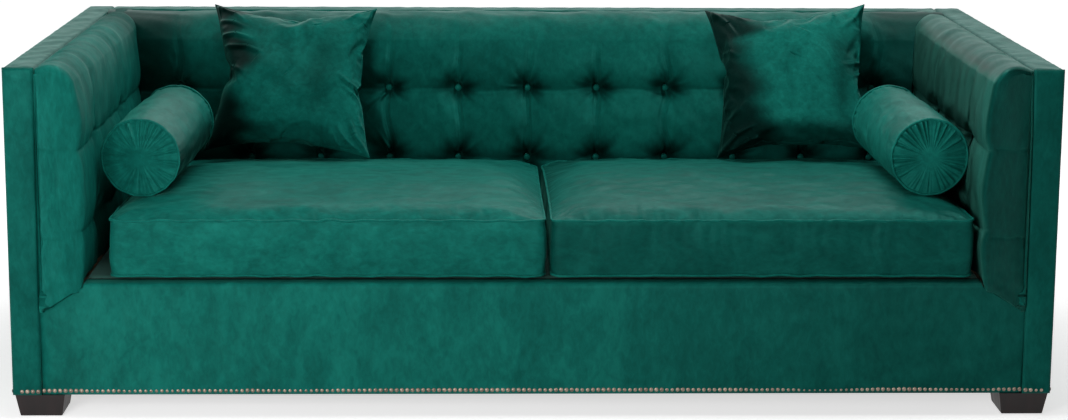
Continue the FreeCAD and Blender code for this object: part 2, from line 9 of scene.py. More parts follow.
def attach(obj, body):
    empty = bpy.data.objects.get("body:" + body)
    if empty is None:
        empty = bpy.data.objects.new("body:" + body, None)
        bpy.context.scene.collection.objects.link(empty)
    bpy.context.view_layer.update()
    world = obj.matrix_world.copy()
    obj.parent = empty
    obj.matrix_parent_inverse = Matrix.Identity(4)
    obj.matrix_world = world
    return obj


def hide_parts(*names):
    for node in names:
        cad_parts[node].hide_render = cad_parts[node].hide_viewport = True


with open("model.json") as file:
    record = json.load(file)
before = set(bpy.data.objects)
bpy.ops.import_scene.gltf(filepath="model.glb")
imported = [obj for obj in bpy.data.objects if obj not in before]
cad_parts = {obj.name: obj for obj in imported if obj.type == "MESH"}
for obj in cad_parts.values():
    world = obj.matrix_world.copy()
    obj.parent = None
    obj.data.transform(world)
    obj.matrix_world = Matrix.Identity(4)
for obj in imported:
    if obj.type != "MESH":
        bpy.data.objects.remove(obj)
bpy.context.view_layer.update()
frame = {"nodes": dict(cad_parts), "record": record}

# Sizes that the solids have, in metres
WALL_HALF = 1.120
SPLAY = 0.005
WALL_TOP = 0.764
HEM = 0.050
FRONT = -0.518
REAR = 0.520
BAND = 0.066
SEAM_SPLAY = 0.009
SKIN = 0.010
BAND_FOOT = 0.752
APRON_FACE = -0.512
APRON_TOP = 0.297
CORNER_SEAM = 0.232
DECK_TOP = 0.3035
BACK_HALF = 0.945
BACK_REAR = 0.448
PAD_FOOT = 0.304
APRON_HALF = 0.966
APRON_BACK = -0.503
ARM_COLUMNS = (-0.320, 0.030)
TUFT_PITCH = 0.173
TUFT_ROWS = (0.585, 0.408)
SEATS = {"left": (-0.910, 0.020), "right": (0.036, 0.946)}
SEAT_FRONT = -0.494
SEAT_REAR = 0.270
SEAT_FOOT = 0.310
SEAT_SEAM_FRONT = 0.431
SEAT_SEAM_REAR = 0.408
PILLOWS = {"left": (-0.578, 2.0), "right": (0.645, -2.5)}
BOLSTERS = {
    "left": ((-0.859, -0.370, 0.544), (-0.838, 0.060, 0.548)),
    "right": ((0.870, -0.370, 0.5475), (0.858, 0.060, 0.5505)),
}
BOLSTER_RADIUS = 0.083
BOLSTER_HALF = 0.215
PILLOW_HALF = 0.196
ZIP_LENGTH = 0.700
ZIP_HEIGHT = 0.356

# The photo's camera, in the photo's pixels
PHOTO_WIDTH = 1068.0
FOCAL_PIXELS = 2150.0
SHIFT_PIXELS = -53.0

# How the scene is drawn
COLUMNS = range(-5, 6)
ARM_FRONT = -0.500
STITCH = 0.0005
PIPING_STEP = 0.004
CORD_SIDES = 10
CLOTH_FRAMES = 28
FLAT_MIRROR = np.array([-1.0, 1.0, 1.0])
UP = np.array([0.0, 0.0, 1.0])


# Mesh helpers


def new_object(name, points, faces):
    """A mesh object at the origin, linked to the scene."""
    mesh = bpy.data.meshes.new(name)
    mesh.from_pydata(np.asarray(points, float).tolist(), [], [tuple(int(i) for i in f) for f in faces])
    obj = bpy.data.objects.new(name, mesh)
    bpy.context.scene.collection.objects.link(obj)
    return obj


def mesh_points(mesh):
    points = np.zeros(len(mesh.vertices) * 3)
    mesh.vertices.foreach_get("co", points)
    return points.reshape(-1, 3)


def add_piece(name, verts, faces, material, body, slot="velvet"):
    """A smooth-shaded piece that rides on a body."""
    obj = new_object(name, verts, faces)
    mesh = obj.data
    mesh.validate()
    mesh.update()
    mesh.polygons.foreach_set("use_smooth", [True] * len(mesh.polygons))
    mesh.materials.append(material)
    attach(obj, body)
    return obj


def painted_shade(piece, share):
    """Marks painted shade: how much the colour is darkened to stand in for shade; share(points) gives 0 to 1
    for each vertex.
    """
    values = np.clip(share(mesh_points(piece.data)), 0.0, 0.95)
    shade_mark = piece.data.attributes.new("painted_shade", "FLOAT", "POINT")
    shade_mark.data.foreach_set("value", values)


def grid_faces(rows, columns, wrap=False, start=0):
    """Quads between the points of a grid; wrap joins the last column to the first."""
    i, j = np.meshgrid(np.arange(rows - 1), np.arange(columns if wrap else columns - 1), indexing="ij")
    k = (j + 1) % columns
    quads = np.stack([i * columns + j, i * columns + k, (i + 1) * columns + k, (i + 1) * columns + j], -1)
    return (quads.reshape(-1, 4) + start).tolist()


def closed_faces(rows, columns):
    """Quads of a grid that closes both ways."""
    return [[i % (rows * columns) for i in f] for f in grid_faces(rows + 1, columns, wrap=True)]


def outline(rows, columns):
    """Indices round the edge of a grid of points."""
    index = np.arange(rows * columns).reshape(rows, columns)
    return np.concatenate([index[:, 0], index[-1, 1:], index[-2::-1, -1], index[0, -2:0:-1]])


def tube(sections, flip=False):
    """Closed sections joined into a tube, with flat caps."""
    count, around = sections.shape[:2]
    faces = grid_faces(count, around, wrap=True)
    faces.append(list(range(around))[::-1])
    faces.append(list(range((count - 1) * around, count * around)))
    if flip:
        faces = [f[::-1] for f in faces]
    return sections.reshape(-1, 3), faces


def join(*parts):
    """Several (points, faces) as one."""
    verts = []
    faces = []
    start = 0
    for points, polys in parts:
        verts.append(np.asarray(points, float))
        faces += [[i + start for i in f] for f in polys]
        start += len(points)
    return np.concatenate(verts), faces


def waves(points, size, seed, stretch=(1.0, 1.0, 1.0)):
    """Smooth random field of about unit spread whose lumps are about that size."""
    count = 28
    rng = np.random.default_rng(seed)
    k = rng.normal(size=(count, 3))
    k /= np.linalg.norm(k, axis=1)[:, None]
    k *= 2 * math.pi / size * rng.uniform(0.5, 1.5, (count, 1))
    k /= np.array(stretch)
    phase = rng.uniform(0, 2 * math.pi, count)
    return np.cos(np.asarray(points) @ k.T + phase).sum(-1) * math.sqrt(2 / count)


def ripples(s, size, seed):
    """Smooth random field along one coordinate."""
    count = 24
    rng = np.random.default_rng(seed)
    k = 2 * math.pi / size * rng.uniform(0.5, 1.6, count)
    phase = rng.uniform(0, 2 * math.pi, count)
    return np.cos(np.asarray(s, float)[..., None] * k + phase).sum(-1) * math.sqrt(2 / count)


def turns(count):
    """Angles of that many points round a circle."""
    return np.linspace(0, 2 * math.pi, count, endpoint=False)


def bell(x, width):
    return np.exp(-(x / width) ** 2)


def peak(x, width, power=1.0):
    return np.exp(-(np.abs(x) / width) ** power)


def smooth_step(x):
    x = np.clip(x, 0.0, 1.0)
    return x * x * (3 - 2 * x)


def ridge_line(points, a, b, width, fade):
    """1 along the segment from a to b in a flat field, falling off across it and at its ends."""
    a = np.array(a)
    b = np.array(b)
    run = b - a
    length = np.linalg.norm(run)
    t = ((points - a) @ run) / length ** 2
    off = points - a - np.clip(t, 0, 1)[..., None] * run
    across = np.linalg.norm(off, axis=-1)
    ends = smooth_step(t / fade) * smooth_step((1 - t) / fade)
    return np.exp(-(across / width) ** 2) * np.where((t > 0) & (t < 1), ends, 0.0)


def bowed(points, bulges, counts):
    """Points along the bulged sides of an open flat outline, as the solids' outline has them."""
    out = []
    for i, count in enumerate(counts):
        a = np.array(points[i])
        b = np.array(points[i + 1])
        run = b - a
        length = np.linalg.norm(run)
        side = np.array([run[1], -run[0]]) / length
        t = np.linspace(0, 1, count, endpoint=False)[:, None]
        out.append(a + run * t + side * bulges[i] * 4 * t * (1 - t))
    out.append(np.array([points[len(counts)]]))
    return np.concatenate(out)


def lengths_along(path):
    """How far along the path each of its points is."""
    return np.concatenate([[0], np.cumsum(np.linalg.norm(np.diff(path, axis=0), axis=1))])


def even(path, step):
    """The same path with points at an even spacing."""
    lengths = lengths_along(path)
    count = max(2, int(round(lengths[-1] / step)) + 1)
    s = np.linspace(0, lengths[-1], count)
    return np.stack([np.interp(s, lengths, path[:, k]) for k in range(path.shape[1])], -1)


def knotted(*knots):
    """Stations from knot to knot, each (place, number of stations up to the next), without the first."""
    runs = []
    for (start, count), (end, _) in zip(knots, knots[1:]):
        runs.append(np.linspace(start, end, count)[1:])
    return np.concatenate(runs)


def path_normals(path):
    """Unit normals to the right of a flat path's run."""
    run = np.gradient(path, axis=0)
    run /= np.linalg.norm(run, axis=1)[:, None]
    return np.stack([run[:, 1], -run[:, 0]], -1)


def outward_of(loop, middle):
    """Unit directions away from the middle, square to a flat closed loop."""
    run = np.roll(loop[:, :2], -1, 0) - np.roll(loop[:, :2], 1, 0)
    run /= np.linalg.norm(run, axis=1)[:, None]
    outward = np.stack([run[:, 1], -run[:, 0]], -1)
    return -outward if outward[0] @ (loop[0, :2] - middle) < 0 else outward


def slab(corners, inward, step, edge, puff, ripple, seed, lump):
    """Upholstered panel: a padded quad with rounded edges, its sides and its back.
    corners run anticlockwise as seen from outside; inward is the vector through its thickness.
    puff is how far its middle stands out; ripple and lump are the height and size of its unevenness."""
    p00, p10, p11, p01 = [np.array(c, float) for c in corners]
    inward = np.array(inward, float)
    thick = np.linalg.norm(inward)
    width = (np.linalg.norm(p10 - p00) + np.linalg.norm(p11 - p01)) / 2
    height = (np.linalg.norm(p01 - p00) + np.linalg.norm(p11 - p10)) / 2
    knots = [0, 0.12, 0.35, 0.7, 1.15, 1.8]

    def stations(length):
        edge_part = np.array(knots) * edge
        inner = np.linspace(edge * 2.6, length - edge * 2.6, max(3, int(length / step)))
        return np.concatenate([edge_part, inner, length - edge_part[::-1]]) / length

    u = stations(width)
    v = stations(height)
    uu, vv = np.meshgrid(u, v, indexing="ij")
    a = uu[..., None]
    b = vv[..., None]
    base = (1 - a) * (1 - b) * p00 + a * (1 - b) * p10 + a * b * p11 + (1 - a) * b * p01
    du = np.minimum(uu, 1 - uu) * width
    dv = np.minimum(vv, 1 - vv) * height
    near = np.minimum(du, dv)

    def fall(d):
        t = np.clip(1 - d / edge, 0, 1)
        return edge * (1 - np.sqrt(1 - t * t))

    depth = np.minimum(fall(du) + fall(dv), edge)
    rise = puff * (1 - np.exp(-near / 0.03)) + ripple * waves(base, lump, seed) * smooth_step(near / 0.02)
    rise += ripple * 0.6 * waves(base, 0.035, seed + 1) * peak(near - 0.012, 0.012)
    ring = outline(*uu.shape)
    flat = (base + inward / thick * (depth - rise)[..., None]).reshape(-1, 3)
    back = base.reshape(-1, 3)[ring] + inward
    n = len(flat)
    faces = grid_faces(*uu.shape)
    count = len(ring)
    for i in range(count):
        k = (i + 1) % count
        faces.append([ring[i], n + i, n + k, ring[k]])
    faces.append([n + i for i in range(count)])
    verts = np.concatenate([flat, back])
    outward = -inward / thick
    first = np.cross(verts[faces[0][1]] - verts[faces[0][0]], verts[faces[0][2]] - verts[faces[0][1]])
    if first @ outward < 0:
        faces = [f[::-1] for f in faces]
    return verts, faces


def pipe(path, radius, wobble, seed):
    """A round cord of cloth along a closed path."""
    run = np.roll(path, -1, 0) - np.roll(path, 1, 0)
    run /= np.linalg.norm(run, axis=1)[:, None]
    side = np.cross(run, UP)
    side /= np.linalg.norm(side, axis=1)[:, None]
    lift = np.cross(side, run)
    angle = turns(CORD_SIDES)
    r = radius * (1 + wobble * ripples(np.arange(len(path)) * PIPING_STEP, 0.03, seed))
    ring = side[:, None] * np.cos(angle)[None, :, None] + lift[:, None] * np.sin(angle)[None, :, None]
    points = path[:, None] + ring * r[:, None, None]
    return points.reshape(-1, 3), [f[::-1] for f in closed_faces(len(path), CORD_SIDES)]


# Materials


def new_material(name):
    material = bpy.data.materials.new(name)
    material.use_nodes = True
    tree = material.node_tree
    tree.nodes.clear()
    return material, tree.nodes, tree.links


def add_node(nodes, links, kind, inputs, operation=None):
    """A node whose sockets, by name or number, take a value or a link."""
    node = nodes.new("ShaderNode" + kind)
    if operation:
        node.operation = operation
    for socket, value in inputs.items():
        if isinstance(value, bpy.types.NodeSocket):
            links.new(value, node.inputs[socket])
        else:
            node.inputs[socket].default_value = value
    return node


def add_noise(nodes, links, vector, scale, detail, roughness, distortion=0.0):
    return add_node(nodes, links, "TexNoise", {
        "Vector": vector, "Scale": scale, "Detail": detail, "Roughness": roughness, "Distortion": distortion,
    }).outputs["Fac"]


def add_ramp(nodes, links, value, stops):
    node = add_node(nodes, links, "ValToRGB", {"Fac": value})
    ramp = node.color_ramp
    while len(ramp.elements) < len(stops):
        ramp.elements.new(0.5)
    for element, (position, colour) in zip(ramp.elements, stops):
        element.position = position
        element.color = (*colour, 1.0)
    return node.outputs["Color"]


def grey_ramp(nodes, links, value, low, high):
    return add_ramp(nodes, links, value, [(0.3, (low,) * 3), (0.7, (high,) * 3)])


def add_math(nodes, links, kind, a, b):
    return add_node(nodes, links, "Math", {0: a, 1: b}, kind).outputs[0]


def weighted_sum(nodes, links, first, *terms):
    """first plus each (field, weight)."""
    for field, weight in terms:
        first = add_math(nodes, links, "ADD", first, add_math(nodes, links, "MULTIPLY", field, weight))
    return first


def add_mapping(nodes, links, scale):
    coords = nodes.new("ShaderNodeTexCoord")
    inputs = {"Scale": scale, "Vector": coords.outputs["Object"]}
    return add_node(nodes, links, "Mapping", inputs).outputs["Vector"]


def velvet(name, nap, painted_lightness, stretch, mottle, patch=11.0):
    """Emerald velvet: deep pile with brushed patches, fine nap and a soft bright edge.
    nap is the way the pile leans, which tilts how the cloth takes the light.
    the lightness, the third argument, is painted light and shade: it lightens or darkens this copy of the
    velvet for how brightly the piece shows.
    mottle is how strong the brushed patches are; patch sets how small they are."""
    material, nodes, links = new_material(name)
    vector = add_mapping(nodes, links, stretch)
    plain = add_mapping(nodes, links, (1.0, 1.0, 1.0))
    patches = add_noise(nodes, links, vector, patch, 5.0, 0.62, 0.9)
    flecks = add_noise(nodes, links, vector, 75.0, 4.0, 0.65, 0.4)
    fuzz = add_noise(nodes, links, plain, 900.0, 2.0, 0.6)
    blend = add_math(nodes, links, "MULTIPLY", flecks, 0.42)
    blend = weighted_sum(nodes, links, blend, (patches, 0.58))
    spread = 0.07 * mottle
    stops = []
    for position, gain, shade in zip((0.50 - 0.13, 0.50, 0.50 + 0.13), (-2.8, 0.0, 3.2), PILE):
        stops.append((position, tuple(painted_lightness * c * (1 + gain * spread) for c in shade)))
    colour = add_ramp(nodes, links, blend, stops)
    relief = add_math(nodes, links, "MULTIPLY", patches, 0.0020 * mottle)
    relief = weighted_sum(nodes, links, relief, (flecks, 0.0008 * mottle), (fuzz, 0.00008))
    geometry = nodes.new("ShaderNodeNewGeometry")
    lean = add_node(nodes, links, "VectorMath", {0: geometry.outputs["Normal"], 1: nap}, "ADD")
    unit = add_node(nodes, links, "VectorMath", {0: lean.outputs["Vector"]}, "NORMALIZE")
    bump = add_node(nodes, links, "Bump", {
        "Strength": 0.85, "Distance": 1.0, "Height": relief, "Normal": unit.outputs["Vector"],
    })
    # Painted shade: the colour is darkened by the mark each piece carries, standing in for shade where it
    # falls
    shade_mark = nodes.new("ShaderNodeAttribute")
    shade_mark.attribute_name = "painted_shade"
    unshaded_share = add_math(nodes, links, "SUBTRACT", 1.0, shade_mark.outputs["Fac"])
    shaded_colour = add_node(nodes, links, "VectorMath", {0: colour, "Scale": unshaded_share}, "SCALE")
    shader = add_node(nodes, links, "BsdfPrincipled", {
        "Base Color": shaded_colour.outputs["Vector"],
        "Roughness": grey_ramp(nodes, links, patches, 0.48, 0.38),
        "Normal": bump.outputs["Normal"],
        "Specular IOR Level": 0.14,
        "Specular Tint": (0.15, 1.0, 0.84, 1.0),
        "Sheen Weight": 0.14,
        "Sheen Roughness": 0.28,
        "Sheen Tint": (0.16, 0.85, 0.66, 1.0),
    })
    add_node(nodes, links, "OutputMaterial", {"Surface": shader.outputs["BSDF"]})
    return material


def plain_material(name, dark, light, roughness, scale, stretch=(1.0, 1.0, 1.0), metal=0.0,
                   relief=0.0003, specular=0.5):
    """Colour, roughness and relief from one noise, for wood, metal, webbing and foam."""
    material, nodes, links = new_material(name)
    vector = add_mapping(nodes, links, stretch)
    field = add_noise(nodes, links, vector, scale, 4.0, 0.6, 0.5)
    height = add_math(nodes, links, "MULTIPLY", field, relief)
    bump = add_node(nodes, links, "Bump", {"Strength": 0.6, "Distance": 1.0, "Height": height})
    shader = add_node(nodes, links, "BsdfPrincipled", {
        "Base Color": add_ramp(nodes, links, field, [(0.3, dark), (0.7, light)]),
        "Roughness": grey_ramp(nodes, links, field, *roughness),
        "Normal": bump.outputs["Normal"],
        "Metallic": metal,
        "Specular IOR Level": specular,
    })
    add_node(nodes, links, "OutputMaterial", {"Surface": shader.outputs["BSDF"]})
    return material


# Linear colours of the pile: dark patches, middle and light patches
PILE = ((0.0030, 0.080, 0.064), (0.0036, 0.094, 0.075), (0.0046, 0.106, 0.084))

# Each velvet's lean of the pile, painted lightness (painted light and shade), stretch, mottle and patch size
VELVET_FLAT = velvet("velvet_flat", (0.0, 0.0, 0.0), 0.9, (1.0, 1.0, 0.55), 0.8)
VELVET_FRONT = velvet("velvet_front", (-0.50, 0.0, 0.0), 1.25, (1.0, 1.0, 0.55), 0.8)
VELVET_ARMS = {
    "left": velvet("velvet_arm_left", (0.30, -0.30, 0.35), 1.25, (1.6, 1.6, 0.5), 1.0, 9.0),
    "right": velvet("velvet_arm_right", (0.35, 0.60, -0.50), 1.2, (1.6, 1.6, 0.5), 1.0, 9.0),
}
VELVET_SEAT = velvet("velvet_seat", (-0.25, 0.0, 0.0), 1.2, (0.7, 1.1, 1.0), 1.0, 14.0)
VELVET_BACK = velvet("velvet_back", (-0.60, 0.0, 0.0), 1.1, (1.0, 1.0, 0.8), 0.7, 9.0)
VELVET_PILLOW = velvet("velvet_pillow", (-0.90, 0.0, 0.0), 1.5, (1.0, 1.0, 1.0), 1.0, 13.0)
VELVET_BOLSTERS = {
    "left": velvet("velvet_bolster_left", (-0.45, 0.0, 0.25), 1.3, (1.0, 0.7, 1.0), 1.0, 13.0),
    "right": velvet("velvet_bolster_right", (-0.20, 0.0, 0.25), 1.3, (1.0, 0.7, 1.0), 1.0, 13.0),
}
VELVET_TRIM = velvet("velvet_trim", (0.0, 0.0, 0.0), 1.3, (1.0, 1.0, 1.0), 0.6, 20.0)

MATERIALS = {
    "frame_wood": plain_material("frame_wood", (0.42, 0.29, 0.16), (0.62, 0.46, 0.28), (0.55, 0.75), 22.0,
                                 (0.12, 1.0, 1.0)),
    "plywood": plain_material("plywood", (0.55, 0.42, 0.25), (0.7, 0.56, 0.36), (0.55, 0.75), 26.0,
                              (1.0, 0.15, 1.0)),
    "leg_wood": plain_material("leg_wood", (0.006, 0.004, 0.004), (0.016, 0.010, 0.010), (0.42, 0.55), 60.0,
                               (1.0, 1.0, 0.1), relief=0.0002, specular=0.3),
    "steel": plain_material("steel", (0.36, 0.36, 0.37), (0.52, 0.52, 0.53), (0.25, 0.42), 120.0, metal=1.0),
    "nail_brass": plain_material("nail_brass", (0.09, 0.07, 0.055), (0.30, 0.24, 0.19), (0.30, 0.5), 70.0,
                                 metal=1.0, relief=0.0004),
    "foam": plain_material("foam", (0.72, 0.66, 0.48), (0.84, 0.79, 0.62), (0.85, 0.95), 240.0),
    "webbing": plain_material("webbing", (0.16, 0.12, 0.08), (0.32, 0.25, 0.18), (0.8, 0.9), 300.0),
    "deck_cloth": plain_material("deck_cloth", (0.008, 0.05, 0.04), (0.016, 0.08, 0.064), (0.8, 0.9), 260.0),
    "cambric": plain_material("cambric", (0.008, 0.008, 0.009), (0.02, 0.02, 0.022), (0.85, 0.95), 400.0),
    "glide_plastic": plain_material("glide_plastic", (0.02, 0.02, 0.02), (0.04, 0.04, 0.04), (0.4, 0.55),
                                    90.0),
}


# Inside back


def back_columns():
    """Stations across the back, close together at each button column."""
    t = np.linspace(0, 1, 34) ** 1.55
    xs = []
    for i in COLUMNS:
        middle = i * TUFT_PITCH
        right = middle + t * TUFT_PITCH / 2
        left = middle - t[::-1] * TUFT_PITCH / 2
        xs += [left[:-1], right[:-1]]
    xs = np.concatenate(xs)
    xs = np.sort(xs[np.abs(xs) < BACK_HALF - 0.001])
    return np.concatenate([[-BACK_HALF], xs, [BACK_HALF]])


# Where the fan of wrinkles beside each button points, in degrees from +X, with its strength
FANS = {
    (-2, 0): (215, 1.2), (-1, 0): (85, 1.1), (0, 0): (120, 0.7), (1, 0): (200, 0.6), (2, 0): (62, 1.2),
    (-1, 1): (58, 1.2), (0, 1): (60, 1.5), (1, 1): (40, 0.8), (2, 1): (35, 1.0), (-2, 1): (120, 1.0),
}


def fan_relief(dx, dz, seed, direction, strength):
    """Wrinkles that run out from a button."""
    rng = np.random.default_rng(seed)
    r = np.hypot(dx, dz)
    angle = np.arctan2(dz, dx)
    relief = np.zeros_like(r)
    spokes, aimed = 9, 6
    for k in range(spokes):
        if k < aimed:
            at = math.radians(direction + rng.uniform(-52, 52))
            size = strength * rng.uniform(0.6, 1.0)
        else:
            at = rng.uniform(-math.pi, math.pi)
            size = 0.45 * rng.uniform(0.5, 1.0)
        off = (angle - at + math.pi) % (2 * math.pi) - math.pi
        width = 0.0026 + 0.0011 * rng.uniform(0, 1) + 0.03 * r
        reach = rng.uniform(0.025, 0.050)
        body = np.exp(-(off * r / width) ** 2) * (np.abs(off) < 1.2)
        relief += size * body * np.exp(-((r - 0.012) / reach) ** 2) * smooth_step((r - 0.006) / 0.008)
    return relief * 0.0042


def arm_face(z):
    """Distance from the middle to an arm pad's face at a height, where the back pad meets it."""
    heights = [PAD_FOOT, 0.50, 0.72, 0.744, 0.756, 0.762]
    return np.interp(z, heights, [0.963, 0.957, 0.966, 0.985, 1.010, 1.050])


# Spots of painted shade beside a button of the upper and the lower row: depth, offset to the right and up,
# width
PAINTED_SHADE_SPOTS = (
    ((0.95, 0.020, 0.004, 0.024), (0.75, -0.022, 0.016, 0.026)),
    ((0.95, 0.012, 0.016, 0.036), (0.80, -0.020, 0.020, 0.034)),
)


def back_painted_shade(points):
    """Painted shade round the buttons, widest to the right of the upper row and above the lower row, and in
    the corners by the arms.
    """
    share = np.zeros(len(points))
    for i in COLUMNS:
        dx = points[:, 0] - i * TUFT_PITCH
        for j, row in enumerate(TUFT_ROWS):
            dz = points[:, 2] - row
            angle = np.arctan2(dz, dx)
            ragged = 1 + 0.22 * np.sin(7 * angle + i) + 0.15 * np.sin(13 * angle + 2 * i + j)
            for depth, right, above, width in PAINTED_SHADE_SPOTS[j]:
                share = np.maximum(share, depth * bell(np.hypot(dx - right, dz - above) / ragged, width))
    # Painted shade in the corners beside the arms
    corner = smooth_step((np.abs(points[:, 0]) - 0.80) / 0.12) * 0.75
    return np.maximum(share, corner)


def inside_back():
    """Button-tufted pad: crowned panels, pleats down each column and pits at the buttons."""
    corners = [(BACK_REAR, 0.759), (0.306, 0.709), (0.298, 0.585), (0.298, 0.408), (0.296, PAD_FOOT)]
    front = even(bowed(corners, [0.030, 0.009, 0.010, 0.006], [60, 60, 60, 60]), 0.0030)
    inward = -path_normals(front)
    xs = back_columns()
    x = np.broadcast_to(xs[:, None], (len(xs), len(front)))
    y = np.broadcast_to(front[None, :, 0], x.shape)
    z = np.broadcast_to(front[None, :, 1], x.shape)
    s = lengths_along(front)
    roll = smooth_step(s / 0.14)[None, :]
    depth = np.zeros(x.shape)
    for i in COLUMNS:
        dx = x - i * TUFT_PITCH
        lean = 0.004 * ripples(z, 0.25, 40 + i)
        dx = dx - lean * smooth_step(np.minimum(np.abs(z - TUFT_ROWS[0]), np.abs(z - TUFT_ROWS[1])) / 0.03)
        along = np.interp(z, [PAD_FOOT, 0.34, 0.408, 0.4965, 0.585, 0.66, 0.72, 0.76],
                          [0.005, 0.008, 0.013, 0.008, 0.013, 0.006, 0.003, 0.002])
        across = 0.6 * peak(dx, 0.0060, 1.1) + 0.4 * bell(dx, 0.022)
        depth += along * across * (0.35 + 0.65 * roll)
        pleat = 0.0030 * bell(dx - 0.0065, 0.0032) - 0.0022 * bell(dx - 0.0115, 0.0035)
        pleat += 0.0022 * bell(dx + 0.0065, 0.0030) - 0.0016 * bell(dx + 0.0110, 0.0035)
        near_row = np.maximum(peak(z - TUFT_ROWS[0], 0.085, 1.6), peak(z - TUFT_ROWS[1], 0.085, 1.6))
        depth += pleat * near_row
        for j, row in enumerate(TUFT_ROWS):
            dz = z - row
            r = np.hypot(dx, dz)
            depth += 0.013 * peak(r, 0.015, 1.3) + 0.019 * bell(np.hypot(dx, dz * 0.85), 0.030)
            direction, strength = FANS.get((i, j), (60 if j else 80, 0.9))
            depth -= fan_relief(dx, dz, 100 + 10 * i + j, direction, strength)
    for j, row in enumerate(TUFT_ROWS):
        line = row + 0.0025 * ripples(x, 0.22, 60 + j)
        depth += 0.0024 * bell(z - line, 0.0030) + 0.0030 * bell(z - line, 0.018)
        depth -= 0.0010 * bell(z - line + 0.006, 0.0035)
    flat = np.stack([x, y, z], -1)
    depth += 0.0011 * waves(flat, 0.13, 7) + 0.0005 * waves(flat, 0.045, 8)
    depth *= smooth_step(s / 0.02)[None, :]
    points = np.stack([x, y + inward[None, :, 0] * depth, z + inward[None, :, 1] * depth], -1)
    rear = [(BACK_REAR, PAD_FOOT), (BACK_REAR, 0.45), (BACK_REAR, 0.60)]
    outer = smooth_step((np.abs(x) - 0.885) / 0.06)
    points[..., 0] += np.sign(x) * outer * (arm_face(points[..., 2]) - BACK_HALF)
    closing = np.array([[(x_, *point) for point in rear] for x_ in xs])
    sections = np.concatenate([points, closing], 1)
    piece = add_piece("inside_back_tufted", *tube(sections), VELVET_BACK, "frame")
    painted_shade(piece, back_painted_shade)
    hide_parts("inside_back")


def buttons():
    """Cloth-covered buttons, their skirts sunk into the pits."""
    angle = turns(20)
    profile = [(0.0012, 0.0)]
    for t in np.linspace(0.2, 1.5, 6):
        profile.append((0.0082 * math.sin(t), 0.0036 * (1 - math.cos(t))))
    profile += [(0.0084, 0.0050), (0.0078, 0.0075), (0.0070, 0.020)]
    parts = []
    rng = np.random.default_rng(5)

    def button(place, outward, across):
        outward = np.array(outward, float)
        across = np.array(across, float)
        tilt = rng.uniform(-0.08, 0.08, 2)
        sections = []
        for r, d in profile:
            circle = across * (r * np.cos(angle))[:, None] + UP * (r * np.sin(angle))[:, None]
            lean = (tilt[0] * r * np.cos(angle) + tilt[1] * r * np.sin(angle))[:, None]
            sections.append(np.array(place) - outward * (d + lean * 0.5) + circle)
        parts.append(tube(np.array(sections)))

    for i in COLUMNS:
        for row in TUFT_ROWS:
            button((i * TUFT_PITCH, 0.3290, row), (0, -1, 0), (1, 0, 0))
    for column in ARM_COLUMNS:
        for row in TUFT_ROWS:
            for sign in (-1, 1):
                button((sign * 0.981, column, row), (-sign, 0, 0), (0, 1, 0))
    piece = add_piece("tuft_buttons_covered", *join(*parts), VELVET_TRIM, "frame")
    fix_normals(piece)
    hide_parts("tuft_buttons")


# Inside arms


def arm_relief(y, z, side):
    """Depth of the pleats, seams and button pits on an inside arm."""
    depth = np.zeros(y.shape)
    for n, column in enumerate(ARM_COLUMNS):
        dy = y - column
        along = np.interp(z, [PAD_FOOT, 0.34, 0.408, 0.4965, 0.585, 0.66, 0.74, 0.77],
                          [0.003, 0.006, 0.012, 0.008, 0.012, 0.007, 0.002, 0.0])
        depth += along * (0.5 * peak(dy, 0.008, 1.1) + 0.5 * bell(dy, 0.034))
        near_row = np.maximum(peak(z - TUFT_ROWS[0], 0.08, 1.6), peak(z - TUFT_ROWS[1], 0.08, 1.6))
        depth += (0.0024 * bell(dy - 0.0065, 0.0035) - 0.0018 * bell(dy - 0.0115, 0.004)) * near_row
        for j, row in enumerate(TUFT_ROWS):
            dz = z - row
            r = np.hypot(dy, dz)
            depth += 0.012 * peak(r, 0.019, 1.25)
            depth -= fan_relief(dy, dz, 300 + 10 * n + j, 90, 1.0)
    for j, row in enumerate(TUFT_ROWS):
        line = row + 0.002 * ripples(y, 0.25, 80 + j) + 0.004 * (j == 0)
        depth += 0.0016 * bell(z - line, 0.0028) + 0.0016 * bell(z - line, 0.018)
    spots = np.stack([y, z, np.zeros_like(y)], -1)
    depth += 0.0009 * waves(spots, 0.10, 21 if side == "left" else 22)
    depth += 0.0010 * waves(spots, 0.06, 23, (1.0, 3.0, 1.0))
    return depth


